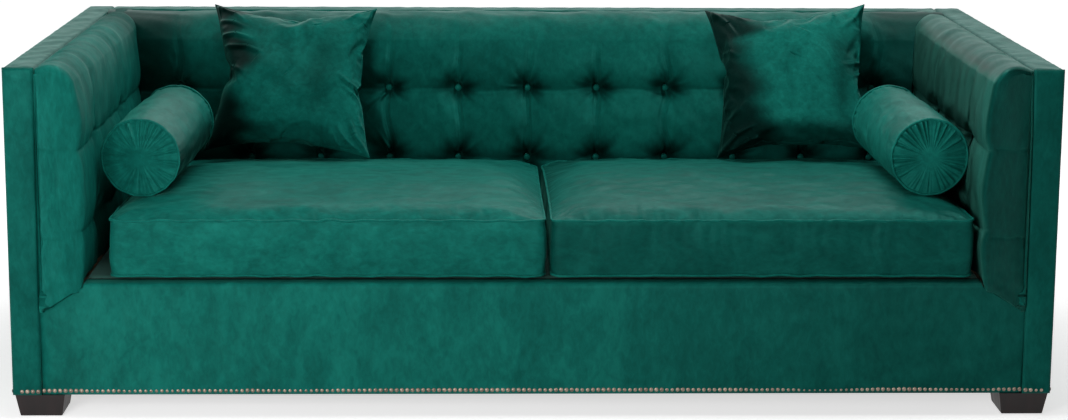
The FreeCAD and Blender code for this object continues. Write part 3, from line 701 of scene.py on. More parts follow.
def inside_arm(side):
    """Pad inside an arm: it rolls over the top to its seam and round the front to the front panel."""
    seam = WALL_HALF - BAND - STITCH
    corners = [(0.087, PAD_FOOT), (0.090, 0.408), (0.090, 0.585), (0.082, 0.734), (0.0, 0.760)]
    path = even(bowed(corners, [0.004, 0.008, 0.008, 0.020], [50, 50, 50, 60]), 0.0030)
    count = len(path)
    inward = -path_normals(path)
    s = lengths_along(path)
    to_seam = s[-1] - s
    # Stations from the back to the front, closer together at the button columns
    knots = ((0.451, 100), (0.08, 26), (0.03, 26), (-0.02, 70), (-0.27, 52), (-0.37, 36), (ARM_FRONT, 0))
    ys = np.concatenate([[0.451], knotted(*knots)])
    y = np.broadcast_to(ys[:, None], (len(ys), count))
    z = np.broadcast_to(path[None, :, 1], y.shape)
    u = np.broadcast_to(path[None, :, 0], y.shape)
    fade = smooth_step(to_seam / 0.03)[None, :]
    depth = arm_relief(y, z, side) * fade
    depth += 0.0007 * ripples(ys, 0.030, 31)[:, None] * peak(to_seam - 0.012, 0.012)[None, :]
    uu = u + inward[None, :, 0] * depth
    zz = z + inward[None, :, 1] * depth
    rings = [np.stack([uu, y, zz], -1)]
    # Round the front edge, then run across the front to the outer seam
    edge_y = 0.0150
    edge_in = 0.0145
    last_u = uu[-1]
    last_z = zz[-1]
    lower = smooth_step((0.38 - path[:, 1]) / 0.076) * 0.0285
    for turn in np.linspace(0, 90, 11)[1:]:
        angle = math.radians(turn)
        inset = edge_in * (1 - math.cos(angle))
        ru = last_u + inward[:, 0] * inset
        rz = last_z + inward[:, 1] * inset - lower * math.sin(angle)
        ru = np.maximum(ru, 0.0)
        rings.append(np.stack([ru, np.full(count, ARM_FRONT - edge_y * math.sin(angle)), rz], -1)[None])
    anchor_z = rz - (rz[0] - CORNER_SEAM) * smooth_step((0.40 - rz) / (0.40 - rz[0]))
    anchor_z = np.minimum(anchor_z, BAND_FOOT - 0.001)
    for w in np.linspace(0, 1, 26)[1:]:
        cu = ru * (1 - w)
        cz = rz * (1 - w) + anchor_z * w
        out = 0.0032 * math.sin(math.pi * min(1.0, w * 1.02)) ** 0.7 - 0.004 * smooth_step((w - 0.9) / 0.1)
        relief = np.zeros(count)
        for j, row in enumerate(TUFT_ROWS):
            line = row + (0.006 if j == 0 else -0.010) + 0.0015 * math.sin(9 * w + j)
            relief += 0.0014 * bell(cz - line, 0.0026) + 0.0010 * bell(cz - line, 0.012)
        spots = np.stack([cu, cz, np.zeros(count)], -1)
        relief += 0.0010 * waves(spots, 0.05, 33, (1.0, 4.0, 1.0)) * math.sin(math.pi * w)
        relief += 0.0009 * waves(spots, 0.03, 34) * peak(rz - 0.30, 0.05)
        thin = smooth_step(np.maximum(ru, 1e-4) / 0.03)
        yy = ARM_FRONT - edge_y - out * thin + relief * thin
        rings.append(np.stack([cu, yy, cz], -1)[None])
    front = np.concatenate(rings, 0)
    # Each ring closes down the seam, which the last ring lies on
    tails = []
    for ring in front:
        foot = min(ring[0, 2], PAD_FOOT)
        tails.append([(0.0, ring[0, 1], low) for low in (0.62, 0.45, foot)])
    verts, faces = tube(np.concatenate([front, np.array(tails)], 1))
    splay = SEAM_SPLAY * (WALL_TOP - verts[:, 2]) / (WALL_TOP - HEM) * (verts[:, 1] < -0.515)
    verts[:, 0] = -(seam + splay) + verts[:, 0]
    if side == "right":
        verts, faces = mirrored(verts, faces)
    piece = add_piece("inside_arm_pleated_" + side, verts, faces, VELVET_ARMS[side], "frame")

    # Painted shade: the left pad darker towards the back, the right pad almost black below its top, where the
    # light does not reach
    def shaded(points):
        if side == "left":
            return 0.55 * smooth_step((points[:, 1] - 0.10) / 0.25)
        under_top = smooth_step((0.765 - points[:, 2]) / 0.02)
        return 0.95 * smooth_step((points[:, 1] + 0.48) / 0.08) * under_top

    painted_shade(piece, shaded)
    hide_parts("inside_arm_pad_" + side)


# Outer wall


def seam_x(z):
    return WALL_HALF - BAND + SEAM_SPLAY * (WALL_TOP - z) / (WALL_TOP - HEM)


def mirrored(points, faces):
    return points * FLAT_MIRROR, [f[::-1] for f in faces]


def outer_wall():
    """Front panels, top bands and outside panels."""
    panel_rear = FRONT + SKIN - STITCH
    band_in = -WALL_HALF + BAND - STITCH
    foot_out = -WALL_HALF - SPLAY
    down = (0, 0, BAND_FOOT - WALL_TOP)
    pieces = []
    for side, seed in (("left", 11), ("right", 12)):
        panel = slab(
            [(foot_out, FRONT, HEM), (-seam_x(HEM), FRONT, HEM),
             (-seam_x(WALL_TOP), FRONT, WALL_TOP), (-WALL_HALF, FRONT, WALL_TOP)],
            (0, SKIN - STITCH, 0), 0.005, 0.006, 0.0022, 0.0006, seed, 0.09)
        band = slab(
            [(-WALL_HALF, panel_rear, WALL_TOP), (band_in, panel_rear, WALL_TOP),
             (band_in, REAR, WALL_TOP), (-WALL_HALF, REAR, WALL_TOP)],
            down, 0.006, 0.006, 0.0015, 0.0007, seed + 10, 0.08)
        outside = slab(
            [(-WALL_HALF, REAR, BAND_FOOT), (foot_out, REAR, HEM),
             (foot_out, panel_rear, HEM), (-WALL_HALF, panel_rear, BAND_FOOT)],
            (SKIN, 0, 0), 0.010, 0.005, 0.0018, 0.0006, seed + 20, 0.14)
        for name, shape, node in (("arm_front_padded_", panel, "arm_front_panel_"),
                                  ("arm_top_padded_", band, "arm_top_band_"),
                                  ("outside_arm_padded_", outside, "outside_arm_")):
            if side == "right":
                shape = mirrored(*shape)
            pieces.append((name + side, shape, node + side))
    wall_in = WALL_HALF - BAND
    back_top = slab(
        [(-wall_in, REAR - BAND, WALL_TOP), (wall_in, REAR - BAND, WALL_TOP),
         (wall_in, REAR, WALL_TOP), (-wall_in, REAR, WALL_TOP)],
        down, 0.008, 0.006, 0.0015, 0.0006, 41, 0.10)
    half = WALL_HALF - SKIN
    back = slab(
        [(half, REAR, HEM), (-half, REAR, HEM), (-half, REAR, BAND_FOOT), (half, REAR, BAND_FOOT)],
        (0, -SKIN + 0.001, 0), 0.012, 0.005, 0.0018, 0.0008, 42, 0.18)
    pieces += [("back_top_padded", back_top, "back_top_band"), ("outside_back_padded", back, "outside_back")]
    for name, shape, node in pieces:
        piece = add_piece(name, *shape, VELVET_FLAT, "frame")
        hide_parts(node)


def front_apron():
    """Padded front below the cushions, rounded over at its top, with its slanted corners."""
    inner = APRON_HALF
    corner = 1.058
    xs = np.concatenate([
        [-seam_x(HEM) + STITCH],
        np.linspace(-corner, -inner - 0.002, 20),
        np.linspace(-inner, inner, 330),
        np.linspace(inner + 0.002, corner, 20),
        [seam_x(HEM) - STITCH],
    ])
    rows = 56
    t = np.linspace(0, 1, rows)
    sections = []
    for x in xs:
        ax = abs(x)
        if ax <= inner:
            top = APRON_TOP - SKIN
            radius = SKIN
        else:
            share = (ax - inner) / (seam_x(CORNER_SEAM) - inner)
            top = (APRON_TOP - SKIN) * (1 - share) + (CORNER_SEAM - 0.001) * share
            radius = 0.003
        z = HEM + (top - HEM) * t
        y = np.full(rows, APRON_FACE)
        to_hem = z - HEM
        y = y + 0.003 * (1 - np.sqrt(1 - np.clip(1 - to_hem / 0.004, 0, 1) ** 2))
        near = np.minimum(to_hem, top - z)
        side_gap = seam_x(HEM) - ax
        y = y - 0.0020 * (1 - np.exp(-near / 0.03)) * (1 - math.exp(-side_gap / 0.012))
        y = y + 0.003 * math.exp(-side_gap / 0.004)
        turn = np.radians(np.linspace(0, 90, 9)[1:])
        arc_y = APRON_FACE + radius * (1 - np.cos(turn))
        arc_z = top + radius * np.sin(turn)
        deep = -0.470 if ax <= inner else APRON_FACE + 0.009
        run_y = np.linspace(arc_y[-1], deep, 5)[1:]
        run_z = np.full(4, arc_z[-1])
        under_y = [deep, APRON_BACK, APRON_BACK]
        under_top = min(top, arc_z[-1] - 0.001)
        ys = np.concatenate([y, arc_y, run_y, under_y])
        zs = np.concatenate([z, arc_z, run_z, [under_top, under_top, HEM]])
        sections.append(np.stack([np.full(len(ys), x), ys, zs], -1))
    sections = np.array(sections)
    shown = rows + 8
    face = sections[:, :shown]
    bend = 0.0010 * waves(face, 0.20, 51, (1.4, 1.0, 1.0)) + 0.0005 * waves(face, 0.05, 52)
    top_edge = peak(face[..., 2] - APRON_TOP, 0.02) * 0.0008 * ripples(face[..., 0], 0.06, 53)
    weight = smooth_step((face[..., 2] - HEM) / 0.02)
    sections[:, :shown, 1] += (bend + top_edge) * weight
    sections[:, :shown, 2] += top_edge * 0.7 * weight
    piece = add_piece("front_apron_padded", *tube(sections, flip=True), VELVET_FRONT, "frame")
    # Painted shade: the apron is made darker towards its right end, for the light falling off across it
    painted_shade(piece, lambda p: 0.50 * smooth_step((p[:, 0] + 0.5) / 1.5))
    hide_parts("front_apron")


# Seat cushions


def seat_profile(fullness, inset):
    """Top of a seat cushion from its rear seam to its front seam, as (y, z)."""
    front = SEAT_FRONT + inset
    rear = SEAT_REAR - inset
    points = [
        (rear, SEAT_SEAM_REAR),
        (rear - 0.055, SEAT_SEAM_REAR + 0.015 * fullness),
        (front + 0.055, SEAT_SEAM_FRONT + 0.026 * fullness),
        (front, SEAT_SEAM_FRONT),
    ]
    bulges = [0.005 * fullness, 0.024 * fullness, 0.006 * fullness]
    return bowed(points, bulges, [24, 120, 24])


def rounded(x, y, x0, x1, y0, y1, r):
    """Moves the points of a rectangle's corners onto rounded corners."""
    px = np.where(x < (x0 + x1) / 2, np.maximum(0, x0 + r - x), -np.maximum(0, x - (x1 - r)))
    py = np.where(y < (y0 + y1) / 2, np.maximum(0, y0 + r - y), -np.maximum(0, y - (y1 - r)))
    ax = np.abs(px)
    ay = np.abs(py)
    length = np.hypot(ax, ay)
    big = np.maximum(ax, ay)
    scale = np.where(length > 0, big / np.maximum(length, 1e-9), 1.0)
    return x + px * (1 - scale), y + py * (1 - scale)


def seat_cushion(side):
    """Crowned box cushion with puckered seams and piping."""
    x0, x1 = SEATS[side]
    seed = 70 if side == "left" else 90
    width = x1 - x0
    depth_y = SEAT_REAR - SEAT_FRONT

    def stations(length, step):
        ends = np.array([0.0, 0.0015, 0.0035, 0.006, 0.009, 0.0125])
        inner = np.linspace(0.0165, length - 0.0165, int(length / step))
        return np.concatenate([ends, inner, length - ends[::-1]])

    xs = x0 + stations(width, 0.0042)
    ts = stations(depth_y, 0.0042) / depth_y
    nx = len(xs)
    ny = len(ts)
    grid = np.zeros((nx, ny, 3))
    for i, x in enumerate(xs):
        off = abs(2 * (x - x0) / width - 1)
        inset = 0.003 * (1 - off ** 2)
        full = seat_profile(1.0, inset)
        low = seat_profile(0.0, inset)
        ys = SEAT_FRONT + inset + ts * (depth_y - 2 * inset)
        power = 10 - 5.5 * smooth_step((ts - 0.35) / 0.5)
        share = 1 - off ** power
        zs = np.interp(ys, full[::-1, 0], full[::-1, 1]) * share
        zs += np.interp(ys, low[::-1, 0], low[::-1, 1]) * (1 - share)
        zs -= 0.010 * smooth_step((off - 0.90) / 0.1) * smooth_step((ts - 0.80) / 0.2)
        grid[i] = np.stack([np.full(ny, x), ys, zs], -1)
    drawn = 0.002 * (1 - (2 * ts - 1) ** 2)
    share = (grid[..., 0] - (x0 + x1) / 2) / (width / 2)
    grid[..., 0] -= share * drawn[None, :]
    gx, gy = rounded(grid[..., 0], grid[..., 1], x0, x1, SEAT_FRONT, SEAT_REAR, 0.020)
    d_side = np.minimum(grid[..., 0] - x0, x1 - grid[..., 0])
    d_front = grid[..., 1] - SEAT_FRONT
    d_rear = SEAT_REAR - grid[..., 1]
    d = np.minimum(np.minimum(d_side, d_front), d_rear)
    grid[..., 0] = gx
    grid[..., 1] = gy
    along = np.where(np.minimum(d_front, d_rear) < d_side, grid[..., 0], grid[..., 1] + 3.0)
    pucker = ripples(along, 0.022, seed) * 0.5 + ripples(along, 0.045, seed + 1) * 0.7
    lift = 0.0010 * pucker * np.exp(-d / 0.020) * smooth_step(d / 0.006)
    lift += 0.0014 * waves(grid, 0.16, seed + 2) * smooth_step(d / 0.05)
    lift += 0.0006 * waves(grid, 0.05, seed + 3) * smooth_step(d / 0.03)
    add_wrinkles(lift, grid[..., :2], side, seed + 5)
    grid[..., 2] += lift
    ring = outline(nx, ny)
    top = grid.reshape(-1, 3)
    rim = top[ring]
    count = len(ring)
    middle = np.array([(x0 + x1) / 2, (SEAT_FRONT + SEAT_REAR) / 2])
    rings = cushion_sides(rim, outward_of(rim, middle), seed)
    n = len(top)
    faces = grid_faces(nx, ny)
    previous = ring
    for level in range(len(rings)):
        current = n + level * count + np.arange(count)
        following = np.roll(current, -1)
        before = np.roll(previous, -1)
        faces += np.stack([previous, current, following, before], -1).tolist()
        previous = current
    faces.append(previous.tolist())
    verts = np.concatenate([top, rings.reshape(-1, 3)])
    piece = add_piece("seat_cushion_" + side, verts, faces, VELVET_SEAT, "seat_" + side)
    fix_normals(piece)
    if side == "right":
        # Painted shade: the right cushion is darker all over, most of all on its sides below the upper seam
        painted_shade(piece, lambda p: 0.20 + 0.25 * smooth_step((SEAT_SEAM_FRONT - p[:, 2]) / 0.012))
    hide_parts("seat_" + side + "_cover", "seat_" + side + "_core")
    seat_trim(side, rim, middle, seed)


def add_wrinkles(lift, flat, side, seed):
    """Wrinkles at a cushion's corners and along its front and inner edges, added to lift."""
    x0, x1 = SEATS[side]
    rng = np.random.default_rng(seed)
    for cx, cy, sx, sy in ((x0, SEAT_FRONT, 1, 1), (x1, SEAT_FRONT, -1, 1),
                           (x0, SEAT_REAR, 1, -1), (x1, SEAT_REAR, -1, -1)):
        for _ in range(7):
            angle = math.radians(rng.uniform(12, 78))
            a = (cx + sx * 0.012 * math.cos(angle), cy + sy * 0.012 * math.sin(angle))
            reach = rng.uniform(0.035, 0.095)
            b = (cx + sx * reach * math.cos(angle), cy + sy * reach * math.sin(angle))
            lift += rng.choice([-1, 1]) * rng.uniform(0.0010, 0.0020) * ridge_line(flat, a, b, 0.0045, 0.3)
    for _ in range(12):
        edge = rng.integers(0, 3)
        reach = rng.uniform(0.03, 0.08)
        if edge < 2:
            ax = x0 + (x1 - x0) * rng.uniform(0.05, 0.95)
            a = (ax, SEAT_FRONT + 0.005)
            b = (ax + rng.uniform(-0.03, 0.03), SEAT_FRONT + reach)
        else:
            ay = SEAT_FRONT + (SEAT_REAR - SEAT_FRONT) * rng.uniform(0.05, 0.9)
            inner_x = x1 if side == "left" else x0
            sign = -1 if side == "left" else 1
            a = (inner_x + sign * 0.005, ay)
            b = (inner_x + sign * reach, ay + rng.uniform(-0.03, 0.03))
        lift -= rng.uniform(0.0008, 0.0016) * ridge_line(flat, a, b, 0.006, 0.35)


def cushion_sides(rim, outward, seed):
    """Rings of points from a cushion's upper seam down its sides and in under its foot."""
    perimeter = lengths_along(rim)
    is_rear = rim[:, 1] > SEAT_REAR - 0.006
    rings = []
    for t in knotted((0, 4), (0.06, 26), (0.94, 4), (1, 0)):
        z = rim[:, 2] + (SEAT_FOOT - rim[:, 2]) * t
        bulge = 0.0045 * 4 * t * (1 - t)
        swell = 0.5 + 0.5 * np.tanh(1.4 * ripples(perimeter, 0.22, seed + 10))
        wave = 0.0008 * ripples(perimeter + 0.01 * math.sin(5 * t), 0.034, seed + 7) * swell
        wave += 0.0011 * ripples(perimeter + 0.03 * t, 0.120, seed + 8)
        wave *= math.sin(math.pi * t) ** 0.6
        near_seams = math.exp(-t / 0.09) + math.exp(-(1 - t) / 0.09)
        wave += 0.0007 * ripples(perimeter, 0.016, seed + 9) * near_seams * math.sin(math.pi * t)
        out = bulge + wave
        flat_band = smooth_step(np.clip(1 - np.abs(z - ZIP_HEIGHT) / 0.020, 0, 1) * 1.8)
        out = np.where(is_rear, out * (1 - flat_band) - 0.0015 * flat_band, out)
        rings.append(np.stack([rim[:, 0] + outward[:, 0] * out, rim[:, 1] + outward[:, 1] * out, z], -1))
    for t in (0.35, 0.7, 1.0):
        inset = 0.010 * t
        z = SEAT_FOOT - 0.0055 * math.sin(t * math.pi / 2)
        rings.append(np.stack([rim[:, 0] - outward[:, 0] * inset, rim[:, 1] - outward[:, 1] * inset,
                               np.full(len(rim), z)], -1))
    return np.array(rings)


def seat_trim(side, rim, middle, seed):
    """Piping along both seams of a seat cushion and the zip across its rear."""
    upper = even(np.concatenate([rim, rim[:1]]), PIPING_STEP)[:-1]
    upper[:, :2] += outward_of(upper, middle) * 0.0012
    low = upper.copy()
    low[:, 2] = SEAT_FOOT
    s = np.arange(len(upper)) * PIPING_STEP
    upper[:, 2] += 0.0007 * ripples(s, 0.09, seed + 11)
    low[:, 2] += 0.0009 * ripples(s, 0.11, seed + 12)
    parts = [pipe(upper, 0.0027, 0.05, 3), pipe(low, 0.0027, 0.05, 4)]
    parts += zip_rows(side)
    trim = add_piece("seat_piping_" + side, *join(*parts), VELVET_TRIM, "seat_" + side)
    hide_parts("seat_" + side + "_welts_and_zip")


def block(x0, x1, y0, y1, z0, z1):
    verts = np.array([(x, y, z) for x in (x0, x1) for y in (y0, y1) for z in (z0, z1)])
    faces = [[0, 1, 3, 2], [4, 6, 7, 5], [0, 4, 5, 1], [2, 3, 7, 6], [0, 2, 6, 4], [1, 5, 7, 3]]
    return verts, faces


def zip_rows(side):
    """The zip's two taped rows of teeth."""
    x0, x1 = SEATS[side]
    start = (x0 + x1 - ZIP_LENGTH) / 2
    teeth, pitch = 233, 0.003
    parts = []
    for sign in (-1, 1):
        low, high = sorted((ZIP_HEIGHT + sign * 0.003, ZIP_HEIGHT + sign * 0.016))
        parts.append(block(start, start + ZIP_LENGTH, 0.2726, 0.2734, low, high))
        low, high = sorted((ZIP_HEIGHT + sign * 0.0006, ZIP_HEIGHT + sign * 0.0032))
        for k in range(teeth):
            x = start + 0.0015 + pitch * k + (pitch / 2 if sign > 0 else 0.0)
            parts.append(block(x, x + 0.0018, 0.272, 0.274, low, high))
    return parts


def fix_normals(obj):
    import bmesh
    work = bmesh.new()
    work.from_mesh(obj.data)
    bmesh.ops.recalc_face_normals(work, faces=work.faces)
    work.to_mesh(obj.data)
    work.free()


# Bolsters


def bolster(side):
    """Round bolster with piped rims and gathered ends."""
    front, rear = [np.array(p) for p in BOLSTERS[side]]
    seed = 120 if side == "left" else 140
    axis = rear - front
    axis /= np.linalg.norm(axis)
    middle = (front + rear) / 2
    half = BOLSTER_HALF
    rim = BOLSTER_RADIUS
    across = np.cross(axis, UP)
    across /= np.linalg.norm(across)
    up = np.cross(across, axis)
    around = 300
    angle = turns(around)
    top_side = 0.5 + 0.5 * np.sin(angle + (0.5 if side == "left" else -0.3))
    folds = ripples(angle * rim, 0.016, seed)
    fine_folds = ripples(angle * rim, 0.011, seed + 1)
    sharp = np.sign(folds) * np.abs(folds) ** 1.3
    gather = 0.35 + 0.65 * top_side ** 1.5
    dome = np.concatenate([np.linspace(0.03, 0.6, 14), np.linspace(0.62, 0.985, 26)])
    rings = []
    for share in dome:
        r = rim * share
        bulge = 0.009 * (1 - share ** 2)
        tuck = smooth_step((share - 0.15) / 0.75) * (1 - smooth_step((share - 0.955) / 0.04))
        wave = (0.0028 * sharp + 0.0009 * fine_folds) * tuck * gather
        rings.append((-half - bulge - wave * 0.9, np.full(around, r)))
    barrel = []
    for t in knotted((0, 12), (0.1, 70), (0.9, 12), (1, 0))[:-1]:
        d = min(t, 1 - t) * 2 * half
        r = rim + 0.0045 * 4 * t * (1 - t)
        pull = math.exp(-d / 0.018)
        wave = 0.0012 * ripples(angle * rim, 0.020, seed + 2 + (t > 0.5))
        wave = wave * pull * (1 - math.exp(-d / 0.004))
        spots = np.stack([np.cos(angle) * rim, np.sin(angle) * rim, np.full(around, t * 2 * half)], -1)
        wave = wave + 0.0007 * waves(spots, 0.07, seed + 4) + 0.0004 * waves(spots, 0.03, seed + 5, (1, 1, 3))
        barrel.append((np.full(around, -half + t * 2 * half), r + wave))
    rear_rings = [(-a, r) for a, r in rings[::-1]]
    edge = np.full(around, rim)
    sections = []
    for a, r in (*rings, (-half, edge), *barrel, (half, edge), *rear_rings):
        a = np.broadcast_to(a, (around,))
        sections.append(middle + axis * a[:, None] + across * (r * np.cos(angle))[:, None]
                        + up * (r * np.sin(angle))[:, None])
    parts = [tube(np.array(sections))]
    for end in (-1, 1):
        centre = middle + axis * end * half
        fine = turns(180)
        radius = 0.0845 + 0.0004 * ripples(fine * rim, 0.05, seed + 6)
        circle = centre + across * (radius * np.cos(fine))[:, None] + up * (radius * np.sin(fine))[:, None]
        parts.append(ring_pipe(circle, centre, axis, 0.0028))
    piece = add_piece("bolster_" + side, *join(*parts), VELVET_BOLSTERS[side], "bolster_" + side)
    fix_normals(piece)

    # Painted shade down the side of the barrel that faces away from the light, fading out at the ends
    def shaded_side(points):
        around_axis = (points - middle) @ np.array([across, up]).T
        lean = np.array([0.6, -0.8]) if side == "left" else np.array([0.9, -0.4])
        facing = around_axis @ lean / rim
        off_ends = smooth_step((half - 0.006 - np.abs((points - middle) @ axis)) / 0.006)
        return 0.9 * smooth_step((facing - 0.05) / 0.75) * off_ends

    painted_shade(piece, shaded_side)
    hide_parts("bolster_" + side + "_cover", "bolster_" + side + "_filling")


def ring_pipe(circle, centre, axis, radius):
    """A round cord of cloth along a circle."""
    out = circle - centre
    out /= np.linalg.norm(out, axis=1)[:, None]
    angle = turns(CORD_SIDES)
    points = circle[:, None] + radius * (out[:, None] * np.cos(angle)[None, :, None]
                                         + axis[None, None] * np.sin(angle)[None, :, None])
    return points.reshape(-1, 3), closed_faces(len(circle), CORD_SIDES)


# Throw pillows


def pillow(side):
    """Knife-edge throw pillow, blown up as cloth and then laid against the back."""
    middle, turn = PILLOWS[side]
    seed = 160 if side == "left" else 180
    n = 62
    half = 0.204
    t = np.linspace(-1, 1, n)
    a, b = np.meshgrid(t, t, indexing="ij")
    ears = 1 + 0.012 * (a * b) ** 6
    x = half * a * ears
    z = half * b * ears
    dome = 0.030 * ((1 - a ** 2) * (1 - b ** 2)) ** 0.6
    spots = np.stack([x, np.zeros_like(x), z], -1)
    dome = dome + 0.0012 * waves(spots, 0.11, seed) * (1 - a ** 4) * (1 - b ** 4)
    front = np.stack([x, -dome, z], -1)
    back = np.stack([x, dome, z], -1)
    index = np.arange(n * n).reshape(n, n)
    second = np.full((n, n), -1)
    second[0, :] = index[0, :]
    second[-1, :] = index[-1, :]
    second[:, 0] = index[:, 0]
    second[:, -1] = index[:, -1]
    inner = [(i, j) for i in range(1, n - 1) for j in range(1, n - 1)]
    for k, (i, j) in enumerate(inner):
        second[i, j] = n * n + k
    verts = np.concatenate([front.reshape(-1, 3), np.array([back[i, j] for i, j in inner])])
    faces = []
    for i in range(n - 1):
        for j in range(n - 1):
            faces.append([index[i, j], index[i + 1, j], index[i + 1, j + 1], index[i, j + 1]])
            faces.append([second[i, j], second[i, j + 1], second[i + 1, j + 1], second[i + 1, j]])
    work = new_object("pillow_work", verts, faces)
    settle(work)
    points, polys = taken(work)
    points[:, 1] *= 0.060 / np.abs(points[:, 1]).max()
    for axis in (0, 2):
        points[:, axis] -= (points[:, axis].max() + points[:, axis].min()) / 2
        points[:, axis] *= PILLOW_HALF / np.abs(points[:, axis]).max()
    points, polys = refined(points, polys)
    points[:, 1] += creases(points, side, seed)
    u = points[:, 0] / PILLOW_HALF
    v = points[:, 2] / PILLOW_HALF
    points[:, 0] *= 1.04 - 0.035 * (1 - v ** 2) * np.abs(u) ** 3
    points[:, 2] *= 1 - 0.030 * (1 - u ** 2) * np.abs(v) ** 3
    placed = Matrix.Translation((middle, 0.200, 0.625)) @ Matrix.Rotation(math.radians(-28.0), 4, "X")
    placed = placed @ Matrix.Rotation(math.radians(turn), 4, "Y")
    flat_place = placed.inverted()
    verts = np.array([placed @ Vector(p) for p in points])
    piece = add_piece("pillow_" + side, verts, polys, VELVET_PILLOW, "pillow_" + side)
    fix_normals(piece)

    def shaded(points):
        flat = np.array([flat_place @ Vector(p) for p in points])
        return pillow_painted_shade(flat / PILLOW_HALF, side, seed)

    painted_shade(piece, shaded)
    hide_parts("pillow_" + side + "_cover", "pillow_" + side + "_filling")


def taken(work):
    """The points and faces of a work object, which goes."""
    points = mesh_points(work.data)
    faces = [list(p.vertices) for p in work.data.polygons]
    bpy.data.objects.remove(work)
    return points, faces


def refined(points, faces):
    """The same surface with four times as many quads each way, smoothed."""
    work = new_object("pillow_fine", points, faces)
    smooth = work.modifiers.new("fine", "SUBSURF")
    smooth.levels = 2
    smooth.render_levels = 2
    apply_modifiers(work)
    return taken(work)


# Creases of the pillows: start, end, width, height, in shares of the half width
PILLOW_CREASES = {
    "left": [
        ((-0.97, 0.50), (-0.42, 0.43), 0.024, 1.3), ((-0.96, 0.92), (-0.52, 0.64), 0.030, 1.1),
        ((-0.97, 0.72), (-0.50, 0.56), 0.026, 0.9), ((-0.62, 0.96), (-0.36, 0.70), 0.026, 0.7),
        ((-0.84, 0.36), (-0.24, 0.20), 0.030, 1.0), ((-0.90, 0.12), (-0.48, -0.06), 0.028, 0.8),
        ((0.98, -0.20), (0.52, 0.06), 0.030, 1.4), ((0.96, -0.30), (0.60, -0.10), 0.024, 1.1),
        ((0.99, -0.97), (0.70, -0.44), 0.032, 1.4), ((0.90, -0.98), (0.56, -0.60), 0.028, 1.1),
        ((0.97, -0.72), (0.80, -0.38), 0.024, 0.9), ((0.70, -0.98), (0.52, -0.70), 0.024, 0.9),
        ((0.48, -0.98), (0.42, -0.66), 0.022, 0.8), ((0.30, -0.98), (0.30, -0.60), 0.022, 0.8),
        ((0.96, 0.96), (0.66, 0.52), 0.034, 1.0), ((0.80, 0.97), (0.54, 0.70), 0.028, 0.7),
        ((0.10, 0.96), (0.30, 0.30), 0.070, 0.6), ((-0.40, 0.20), (0.20, -0.35), 0.100, 0.5),
    ],
    "right": [
        ((-0.98, -0.97), (-0.46, -0.58), 0.032, 1.4), ((-0.97, -0.84), (-0.60, -0.30), 0.030, 1.1),
        ((-0.86, -0.97), (-0.28, -0.74), 0.028, 1.2), ((-0.72, -0.98), (-0.36, -0.84), 0.024, 0.9),
        ((-0.96, -0.62), (-0.72, -0.18), 0.028, 0.8), ((-0.97, 0.96), (-0.62, 0.46), 0.034, 1.0),
        ((-0.85, 0.97), (-0.46, 0.72), 0.028, 0.9), ((-0.96, 0.40), (-0.60, 0.22), 0.028, 0.7),
        ((0.98, 0.26), (0.50, 0.08), 0.030, 1.3), ((0.97, 0.12), (0.60, -0.08), 0.026, 1.1),
        ((0.98, -0.97), (0.60, -0.52), 0.034, 1.3), ((0.86, -0.98), (0.44, -0.72), 0.028, 1.1),
        ((0.98, -0.78), (0.74, -0.32), 0.028, 0.9), ((0.62, -0.98), (0.40, -0.84), 0.024, 0.8),
        ((0.95, 0.96), (0.58, 0.58), 0.034, 1.0), ((0.56, 0.97), (0.46, 0.62), 0.026, 0.7),
        ((0.10, -0.98), (0.12, -0.70), 0.026, 0.7), ((0.15, 0.60), (-0.30, 0.00), 0.100, 0.5),
    ],
}


def creases(points, side, seed):
    """How far each point of a pillow's skin moves outwards along the pillow's thickness."""
    flat = points[:, (0, 2)] / PILLOW_HALF
    face = np.sign(points[:, 1]) * smooth_step(np.abs(points[:, 1]) / 0.012)
    rise = np.zeros(len(points))
    for a, b, width, height in PILLOW_CREASES[side]:
        a = np.array(a)
        b = np.array(b)
        bend = (a + b) / 2 + np.array([a[1] - b[1], b[0] - a[0]]) * 0.08
        dying = smooth_step(np.linalg.norm(flat - b, axis=-1) / 0.25)
        for start, end in ((a, bend), (bend, b)):
            rise = np.maximum(rise, height * ridge_line(flat, start, end, width, 0.02) * dying)
    rng = np.random.default_rng(seed + 3)
    gathers = np.zeros(len(points))
    for k in range(34):
        at = rng.uniform(-0.92, 0.92)
        reach = rng.uniform(0.10, 0.30)
        lean = rng.uniform(-0.10, 0.10)
        edge = k % 4
        start = np.array([at, 1.0])
        end = np.array([at + lean, 1.0 - reach])
        if edge % 2:
            start = start[::-1]
            end = end[::-1]
        if edge > 1:
            start = -start
            end = -end
        gathers += rng.uniform(0.3, 1.0) * ridge_line(flat, start, end, rng.uniform(0.018, 0.035), 0.45)
    soft = waves(np.stack([flat[:, 0], flat[:, 1], face], -1), 0.55, seed + 4)
    return face * (0.0080 * rise + 0.0034 * gathers + 0.0016 * soft)


def pillow_painted_shade(flat, side, seed):
    """Painted shade down a pillow's left part and along its foot, and a darker streak down its right half."""
    u = flat[:, 0]
    v = flat[:, 2]
    wander = 0.10 * ripples(v, 1.1, seed + 7) + 0.05 * ripples(v, 0.35, seed + 8)
    if side == "left":
        flank = 0.95 * smooth_step((-0.40 - u + wander) / 0.35)
        foot = 0.80 * smooth_step((-0.62 - v + 0.5 * wander) / 0.35) * smooth_step((0.9 - u) / 0.5)
        streak = 0.45 * bell(u - 0.36 - 0.12 * v, 0.18) * smooth_step((0.75 - np.abs(v)) / 0.5)
    else:
        flank = 0.93 * smooth_step((-0.22 - u + wander) / 0.45)
        foot = 0.75 * smooth_step((-0.50 - v + 0.5 * wander) / 0.40)
        streak = 0.55 * bell(u - 0.62 - 0.10 * v, 0.16) * smooth_step((0.8 - np.abs(v)) / 0.5)
    return 1 - (1 - flank) * (1 - foot) * (1 - streak)


